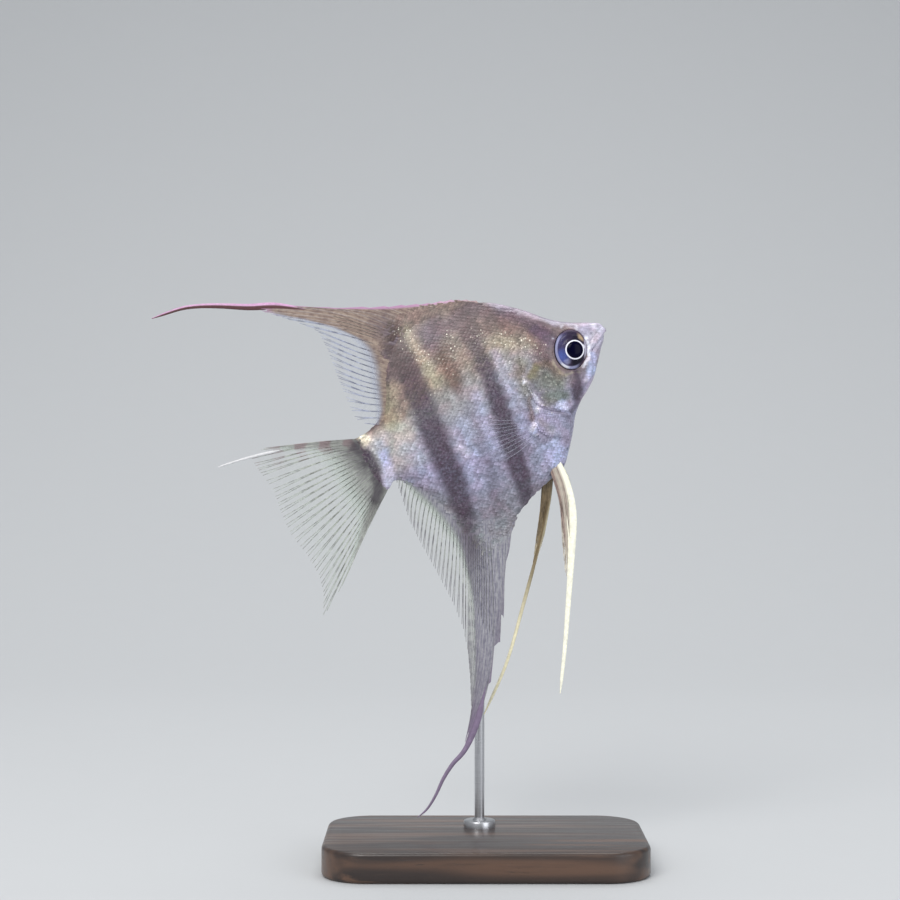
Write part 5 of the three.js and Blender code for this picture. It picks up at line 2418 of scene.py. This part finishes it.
@dataclass(frozen=True)
class SkinFinish:
    """The wet skin under the scales, bare on the snout and lips."""

    colours: SkinColours
    coat: float = 0.35

    def material(self, group: bpy.types.NodeTree) -> Material:
        """The finish, made round the shared group of skin colours.

        Args:
            group: The group.

        Returns:
            The material.
        """
        tree = Surface("fish_skin")
        skin = self.colours.place_in(tree, group, 0.5)
        return tree.finished({
            "Base Color": skin["Colour"],
            "Roughness": skin["Height"].fit(0.4, 1.1, 0.34, 0.5),
            "Metallic": skin["Shine"] * 0.12,
            "Normal": tree.bump(skin["Height"], 0.35, 0.00012),
            "Coat Weight": self.coat,
            "Coat Roughness": 0.16,
        })


@dataclass(frozen=True)
class ScaleFinish:
    """The scales: the skin's own markings, a painted highlight on each rear edge, painted shade at each root
    under the scale in front, and a shine that differs scale by scale.
    """

    colours: SkinColours
    # painted highlight along each scale's raised rear edge
    edge_highlight: float = 0.16
    # painted shade at each scale's root, under the edge of the scale in front
    root_dark: float = 0.18
    ridge: float = 0.012
    ridge_rate: float = 62.0

    def material(self, group: bpy.types.NodeTree) -> Material:
        """The finish, made round the shared group of skin colours.

        Args:
            group: The group.

        Returns:
            The material, which reads the map named ScaleMap.
        """
        tree = Surface("fish_scales")
        tone = tree.kept("tone")
        skin = self.colours.place_in(tree, group, tone)
        across, along, _ = tree.unrolled("ScaleMap")
        aside = tree.math("ABSOLUTE", across - 0.5)
        curved = tree.math("POWER", aside, 2.0) * 0.9 + along
        ridges = tree.math("SINE", curved * self.ridge_rate)
        # painted highlight along the rear edge, and painted shade at the root
        pale, dark = curved.fit(0.7, 0.97) * self.edge_highlight, curved.fit(0.74, 0.4) * self.root_dark
        return tree.finished({
            "Base Color": tree.dim(skin["Colour"], ridges * self.ridge + pale - dark + 1.0),
            "Roughness": tone * -0.1 + 0.5 + skin["Shine"] * -0.08,
            "Metallic": skin["Shine"] * 0.28,
            "Normal": tree.bump(ridges * 0.2 + skin["Height"], 0.22, 0.00006),
            "Coat Weight": 0.16,
            "Coat Roughness": 0.24,
        })


@dataclass(frozen=True)
class Blot:
    """A soft-edged blot on an iris: whole within `near` of its place, gone past `past`."""

    colour: tuple[float, ...]
    share: float
    place: tuple[float, float]
    near: float
    past: float


@dataclass(frozen=True)
class EyeFinish:
    """A glassy eye: black lens, thin white ring, and an iris of blues and browns, with a painted highlight on
    its lower rear rim.
    """

    lens: tuple = shade(0, 0, 30)
    # the white ring round the lens, and also the colour of the painted highlight on the iris's rim
    ring: tuple = shade(244, 244, 255)
    iris_dark: tuple = shade(50, 42, 62)
    iris_slate: tuple = shade(68, 64, 98)
    iris_black: tuple = shade(24, 22, 36)
    # the pale lower rear rim of the iris, partly a painted highlight arc
    rim: tuple = shade(176, 178, 216)
    skin: tuple = shade(196, 192, 210)
    lid: tuple = shade(84, 68, 88)
    blots: tuple[Blot, ...] = (
        Blot(shade(78, 92, 158), 0.9, (1.7, -1.4), 0.4, 1.9),
        Blot(shade(176, 178, 216), 0.4, (0.8, -2.5), 0.2, 0.9),
        Blot(shade(24, 22, 36), 0.95, (-1.5, -2.9), 0.9, 1.9),
        Blot(shade(24, 22, 36), 0.7, (-0.9, 2.0), 0.5, 1.3),
        Blot(shade(208, 182, 146), 0.75, (-2.4, 2.8), 0.4, 1.4),
    )

    def material(self, eyes: Eyes) -> Material:
        """The finish.

        Args:
            eyes: The eyes, for their size and the place of their lenses.

        Returns:
            The material, which reads the map named EyeMap.
        """
        tree = Surface("fish_eye")
        size, lens, squeezed = eyes.eye.tall, eyes.lens_radius, eyes.eye.tall / eyes.eye.wide
        back, up = (part * (2 * size) - size for part in tree.unrolled("EyeMap")[:2])

        def far(at_back: float, at_up: float, stretch: float = 1.0) -> Wire:
            """How far a place on the eye is from a point."""
            a, b = (back - at_back) * stretch, up - at_up
            return tree.math("SQRT", a * a + b * b)

        out, from_lens = far(0, 0, squeezed) / size, far(eyes.lens_back, eyes.lens_up)
        here = tree.here()
        loose = (tree.noise(here, 900, 4, 0.65) - 0.5) * 1.3
        lower_rear = back * 0.85 + up * -0.5
        iris = tree.blend((back + loose).fit(0.4, 2.1), self.iris_dark, self.iris_slate)
        for blot in self.blots:
            gap = far(*blot.place) + loose
            iris = tree.blend(gap.fit(blot.past, blot.near) * blot.share, iris, blot.colour)
        iris = tree.dim(iris, tree.noise(here, 3600, 2, 0.6).fit(0.3, 0.7, 0.84, 1.16))
        for share, colour in (
            # the pale rim, partly a painted highlight arc
            (out.fit(0.81, 0.9) * lower_rear.fit(-0.5, 1.5, 0.0, 0.8), self.rim),
            # a painted white highlight on the lower rear rim
            (far(1.25, -3.35).fit(1.3, 0.4) * out.fit(0.84, 0.9), self.ring),
            (out.fit(0.86, 0.98) * lower_rear.fit(1.0, -0.6, 0.0, 0.9), self.lid),
            (back.fit(-2.5, -2.9) * up.fit(-2.2, -1.2) * 0.9, self.skin),
            (out.fit(0.955, 0.985) * lower_rear.fit(0.3, 2.0, 0.0, 0.85), self.iris_black),
        ):
            iris = tree.blend(share, iris, colour)
        white = from_lens.fit(lens + 0.32, lens + 0.2).most(far(-2.3, 0.5).fit(0.66, 0.3, 0.0, 0.85))
        iris = tree.blend(from_lens.fit(lens - 0.03, lens + 0.05) * white, iris, self.ring)
        on_lens = from_lens.fit(lens + 0.02, lens - 0.04)
        return tree.finished({
            "Base Color": tree.blend(on_lens, iris, self.lens),
            "Roughness": from_lens.fit(lens - 0.06, lens + 0.14, 0.2, 0.4),
            "Coat Weight": (on_lens * -0.32 + 0.35) * out.fit(0.78, 0.95, 1.0, 0.1),
            "Specular IOR Level": 0.06,
            "Coat Roughness": 0.03,
            "Coat IOR": 1.34,
        })


@dataclass(frozen=True)
class FinFinish:
    """A fin's membrane and rays: an opaque root streaked along the rays, and a clear rear."""

    name: str
    root: tuple
    root_dark: tuple
    clear: tuple
    rim: tuple
    ray: tuple
    ray_dark: tuple
    clear_alpha: float = 0.08
    root_alpha: float = 0.97
    ray_alpha: float = 0.85
    thread_top: float = -2.0
    thread_from: float = -1.0
    thread_low: tuple = shade(116, 80, 78)
    bar_alpha: float = 0.6
    tip: tuple = shade(112, 104, 120)
    tip_share: float = 0.0
    bands: float = 0.0
    band: tuple = shade(118, 94, 104)
    bar: tuple = shade(84, 70, 86)

    def _sheath(self, tree: Tree, here: Wire) -> Wire:
        """The colour of the opaque part, streaked along the rays.

        Args:
            tree: The tree to build in.
            here: The place.

        Returns:
            The colour.
        """
        number = tree.kept("ray")
        line = tree.wire("CombineXYZ", 0, {"X": number * 2.2, "Y": tree.kept("along") * 0.3})
        mixed = tree.noise(here, 1500, 3, 0.6) * 0.6 + tree.noise(line, 1.5, 3, 0.6)
        share = number.swing(0.5).fit(0.5, 0.22) * -0.4 + mixed.fit(0.55, 1.05) + 0.25
        return tree.blend(share, self.root, self.root_dark)

    def _marked(self, tree: Tree, colour: Wire, here: Wire) -> Wire:
        """Lays the body's bars over the colour, and bands across the upper rays of a banded fin.

        Args:
            tree: The tree to build in.
            colour: The colour.
            here: The place.

        Returns:
            The colour with its marks.
        """
        if self.bands:
            wave = tree.math("SINE", (tree.noise(here, 420, 2) * 3.4 + tree.kept("along")) * 1.3)
            banded = wave.fit(-0.3, 0.5) * tree.kept("ray").fit(6.0, 1.0) * self.bands
            colour = tree.blend(banded, colour, self.band)
        colour = tree.blend(tree.kept("share").fit(0.4, 1.0, 0.0, self.tip_share), colour, self.tip)
        return tree.blend(tree.kept("bar") * (0.85 if self.bar_alpha else 0.0), colour, self.bar)

    def _wet(self, fine: Wire) -> dict[str, Value]:
        """The shader's inputs for a thin wet gloss."""
        return {"Roughness": fine.fit(0.3, 0.7, 0.32, 0.5), "Coat Weight": 0.15, "Coat Roughness": 0.18}

    def membrane(self) -> Material:
        """The membrane's finish.

        Returns:
            The material.
        """
        tree = Surface(f"{self.name}_membrane")
        here, veil, rim = tree.here(), tree.kept("veil"), tree.kept("rim")
        fine = tree.noise(here, 1800, 3, 0.6)
        colour = tree.blend(veil.fit(0.25, 0.85), self.clear, self._sheath(tree, here))
        colour = tree.blend(rim.least(1.0), self._marked(tree, colour, here), self.rim)
        by_ray = tree.kept("ray").swing(0.5).fit(0.22, 0.0) * self.clear_alpha
        thin = (fine * self.clear_alpha + by_ray) * tree.kept("share").fit(1.0, 0.72, 0.25, 1.0)
        solid = (veil * self.root_alpha).most(rim * 0.9).most(tree.kept("bar") * self.bar_alpha)
        return tree.finished({
            "Base Color": colour,
            "Alpha": thin.most(solid).least(1.0),
            "Normal": tree.bump(fine, 0.3, 0.0001),
            **self._wet(fine),
        })

    def rays(self) -> Material:
        """The finish of the rays and threads, jointed along their length.

        Returns:
            The material.
        """
        tree = Surface(f"{self.name}_rays")
        here, veil, rim = tree.here(), tree.kept("veil"), tree.kept("rim")
        joint = tree.kept("along").swing(0.3).fit(0.06, 0.0)
        fine = tree.noise(here, 1600, 3, 0.6)
        broken = tree.noise(here, 700, 2).fit(0.42, 0.62)
        pale = tree.blend((joint * 0.5).most(broken), self.ray, self.ray_dark)
        colour = tree.blend(veil * 0.85, pale, self._sheath(tree, here))
        colour = tree.blend(rim.least(1.0), self._marked(tree, colour, here), self.rim)
        upper = tree.kept("top").fit(self.thread_top, self.thread_top + 0.5)
        late = rim.fit(self.thread_from + 1, self.thread_from + 1.4)
        on_thread = tree.blend(upper * late, self.thread_low, self.rim)
        colour = tree.blend(rim.fit(1.0, 1.03), colour, on_thread)
        return tree.finished({
            "Base Color": tree.dim(colour, fine.fit(0.3, 0.7, 0.88, 1.1)),
            "Alpha": veil.fit(0.0, 0.6, self.ray_alpha, 1.0),
            "Normal": tree.bump(joint * -1.0, 0.4, 0.00006),
            **self._wet(fine),
        })


@dataclass(frozen=True)
class WoodFinish:
    """Dark stained hardwood under a satin varnish, its grain along the plinth."""

    light: tuple = shade(92, 66, 50)
    dark: tuple = shade(40, 28, 24)
    pore: tuple = shade(22, 15, 13)

    def material(self) -> Material:
        """The wood's finish.

        Returns:
            The material.
        """
        tree = Surface("stand_wood")
        drawn = tree.stretched(tree.here(), (9, 120, 120), (0.3, 0, 0.05))
        grain = tree.noise(drawn, 5.0, 5, 0.62)
        rings = tree.math("SINE", tree.noise(drawn, 1.2, 2) * 16.0 + grain * 5.0)
        colour = tree.ramp(rings * 0.22 + grain, ((0.25, self.dark), (0.8, self.light)))
        pore = tree.noise(drawn, 24.0, 3, 0.7).fit(0.6, 0.72)
        return tree.finished({
            "Base Color": tree.blend(pore * 0.6, colour, self.pore),
            "Roughness": grain.fit(0.3, 0.7, 0.34, 0.48),
            "Normal": tree.bump(pore * -1.0, 0.3, 0.0001),
            "Coat Weight": 0.35,
            "Coat Roughness": 0.22,
        })


@dataclass(frozen=True)
class SteelFinish:
    """Brushed steel, its fine lines round the rod."""

    bright: tuple = shade(206, 207, 210)
    dull: tuple = shade(160, 161, 165)

    def material(self) -> Material:
        """The steel's finish.

        Returns:
            The material.
        """
        tree = Surface("stand_steel")
        here = tree.here()
        lines = tree.noise(tree.stretched(here, (300, 300, 9000)), 1.0, 3, 0.6)
        return tree.finished({
            "Base Color": tree.blend(lines, self.dull, self.bright),
            "Roughness": tree.noise(here, 260, 2) * 0.12 + 0.24,
            "Normal": tree.bump(lines, 0.12, 0.00005),
            "Metallic": 1.0,
        })


# ---- the studio


@dataclass
class Studio:
    """A pale floor that curves up behind, soft lamps, and the camera square to the fish's right side."""

    floor_colour: tuple = shade(196, 198, 200)
    floor_speck: tuple = shade(170, 172, 174)
    floor_size: tuple[float, float] = (5, 2.4)
    backdrop: float = 2.6
    bend: float = 0.9
    camera_at: tuple[float, float, float] = (-7 * MM, -400 * MM, 82.6 * MM)
    field: float = 180 * MM
    aim: tuple[float, float, float] = (0, 0, 0.07)
    # each lamp's name, place, size, power and tint
    lamps: tuple = (
        ("key", (-0.35, -0.75, 0.75), 0.55, 7.0, (1.0, 0.985, 0.96)),
        ("fill", (0.75, -0.7, 0.3), 0.7, 3.2, (0.95, 0.97, 1.0)),
        ("over", (0.0, 0.25, 0.95), 0.7, 4.5, (1.0, 1.0, 1.0)),
    )
    sky: tuple = (0.93, 0.96, 1.0, 1)
    sky_strength: float = 0.5

    def floor(self) -> None:
        """The floor and backdrop, in one sweep."""
        deselect()
        bpy.ops.mesh.primitive_plane_add(size=1)
        bpy.context.active_object.scale = (*self.floor_size, 1)
        sweep = named("studio_sweep")
        behind = self.floor_size[1] / 2 - 0.1
        choose_edges(sweep, lambda a, b: min(a.y, b.y) > behind)
        with editing():
            rise(self.backdrop)
        choose_edges(sweep, lambda a, b: min(a.y, b.y) > behind and max(a.z, b.z) < 0.01)
        with editing():
            bpy.ops.mesh.bevel(offset=self.bend, segments=24, affect="EDGES")
        smooth_faces(sweep, 60)
        tree = Surface("studio_floor")
        speck = tree.noise(tree.here(), 90, 2)
        sweep.data.materials.append(tree.finished({
            "Base Color": tree.blend(speck * 0.04, self.floor_colour, self.floor_speck),
            "Roughness": 0.85,
            "Specular IOR Level": 0.2,
        }))

    def light(self) -> None:
        """The lamps, soft and square, each facing the fish, and an even light from all round."""
        for name, at, size, power, tint in self.lamps:
            data = bpy.data.lights.new(name, "AREA")
            data.shape, data.size, data.energy, data.color = "SQUARE", size, power, tint
            lamp = placed(name, data, at)
            lamp.rotation_euler = (Vector(self.aim) - Vector(at)).to_track_quat("-Z", "Y").to_euler()
        world = bpy.data.worlds.new("studio")
        world.use_nodes = True
        sky = world.node_tree.nodes["Background"].inputs
        sky["Color"].default_value, sky["Strength"].default_value = self.sky, self.sky_strength
        bpy.context.scene.world = world

    def camera(self) -> None:
        """The camera, level and square to the fish's right side."""
        data = bpy.data.cameras.new("camera")
        data.sensor_width = 36
        data.lens = 36 / 2 / (self.field / 2 / -self.camera_at[1])
        data.clip_start, data.clip_end = 0.01, 20
        camera = placed("camera", data, self.camera_at)
        camera.rotation_euler = (math.pi / 2, 0, 0)
        bpy.context.scene.camera = camera
        bpy.context.scene.view_settings.view_transform = "Standard"


# ---- the model

UPPER_FIN = FinFinish(
    "dorsal", root=shade(166, 148, 134), root_dark=shade(118, 98, 92), clear=shade(166, 172, 192),
    rim=shade(198, 150, 190), ray=shade(176, 182, 204), ray_dark=shade(120, 124, 146), clear_alpha=0.13,
    thread_top=0.0, thread_low=shade(88, 52, 54),
)
TAIL_FIN = FinFinish(
    "tail", root=shade(172, 176, 168), root_dark=shade(128, 126, 126), clear=shade(172, 186, 172),
    rim=shade(214, 214, 216), ray=shade(186, 192, 182), ray_dark=shade(132, 134, 128), clear_alpha=0.1,
    root_alpha=0.78, bar_alpha=0.98, bar=shade(46, 36, 50), bands=0.75, band=shade(132, 108, 112),
)
LOWER_FIN = FinFinish(
    "anal", root=shade(164, 163, 170), root_dark=shade(112, 110, 126), clear=shade(166, 178, 164),
    rim=shade(126, 110, 136), ray=shade(192, 196, 188), ray_dark=shade(130, 132, 130), clear_alpha=0.11,
    tip_share=0.6,
)
NEAR_FEELER = FinFinish(
    "pelvic_right", root=shade(156, 134, 124), root_dark=shade(106, 86, 84), clear=shade(186, 178, 160),
    rim=shade(252, 250, 230), ray=shade(226, 216, 196), ray_dark=shade(140, 118, 100), clear_alpha=0.4,
    bar_alpha=0.0,
)
FAR_FEELER = FinFinish(
    "pelvic_left", root=shade(132, 114, 84), root_dark=shade(86, 70, 50), clear=shade(160, 146, 112),
    rim=shade(240, 232, 198), ray=shade(168, 150, 112), ray_dark=shade(110, 92, 64), clear_alpha=0.4,
    bar_alpha=0.0, thread_from=0.3, thread_low=shade(116, 98, 68),
)
# the pale lilac-white root is partly a painted sheen where the fin meets the body
CLEAR_FIN = FinFinish(
    "pectoral", root=shade(226, 216, 238), root_dark=shade(190, 178, 200), clear=shade(206, 210, 222),
    rim=shade(220, 220, 226), ray=shade(206, 208, 226), ray_dark=shade(176, 178, 198), clear_alpha=0.02,
    root_alpha=0.7, ray_alpha=0.12, bar_alpha=0.0,
)


@dataclass
class Angelfish:
    """The whole fish, built from its body outwards.

    `scaly` gives, for each fin with scales on its root, how far they reach along its guides, and a seed.
    """

    place: FishFrame
    marks: Markings = field(default_factory=Markings)
    eye: EyePlace = field(default_factory=EyePlace)
    scaly: dict[str, tuple[Points, int]] = field(default_factory=lambda: {
        "dorsal": (((0, 0.9), (6, 2.2), (12, 4), (16, 3.4), (20, 1.4), (22, 0.6)), 31),
        "anal": (((0, 1.5), (4, 5), (8, 9), (10, 6), (13, 2.4), (15, 1.3), (17, 0.6)), 33),
        "tail": (((0, 0.2), (1.5, 0.9), (5, 1.0), (9, 0.9), (11, 0.2)), 35),
    })

    def build(self) -> Body:
        """Builds and dresses every piece of the fish.

        Returns:
            The body, which the stand's rod reaches.
        """
        body = Body(self.place, self.marks, self.eye)
        colours = SkinColours(self.place)
        shared = colours.group()
        body.skin(SkinFinish(colours).material(shared))
        eyes = Eyes(self.place, self.eye)
        glass = EyeFinish().material(eyes)
        for side in Side:
            eyes.one(side, glass)
        coat, pattern = Coat(body), model_scale()
        scales = ScaleFinish(colours).material(shared)
        for side in Side:
            for where in (coat.flank, coat.face):
                coat.patch(where, side, pattern, scales)
        rod = model_rod()
        dressed = (
            (DORSAL, UPPER_FIN), (TAIL, TAIL_FIN), (ANAL, LOWER_FIN), (PELVIC_RIGHT, NEAR_FEELER),
            (PELVIC_LEFT, FAR_FEELER),
        )
        for shape, finish in dressed:
            fin = Fin(self.place, self.marks, shape)
            fin.membrane(finish.membrane())
            fin.rays(rod, finish.rays())
            if shape.name in self.scaly:
                for side in Side:
                    FinCoat(body, fin, *self.scaly[shape.name]).patch(side, pattern, scales)
        web, quills = CLEAR_FIN.membrane(), CLEAR_FIN.rays()
        for side in Side:
            fin = Fin(self.place, self.marks, pectoral(side))
            fin.membrane(web)
            fin.rays(rod, quills)
        return body


def main() -> None:
    """Builds the fish, its stand and the studio."""
    logging.basicConfig(level=logging.INFO, format="%(name)s: %(message)s")
    place = FishFrame.from_cad()
    studio = Studio()
    studio.camera()
    studio.floor()
    studio.light()
    body = Angelfish(place).build()
    stand = Stand(place, body)
    stand.plinth(WoodFinish().material())
    stand.rod(SteelFinish().material())


if __name__ == "__main__":
    main()
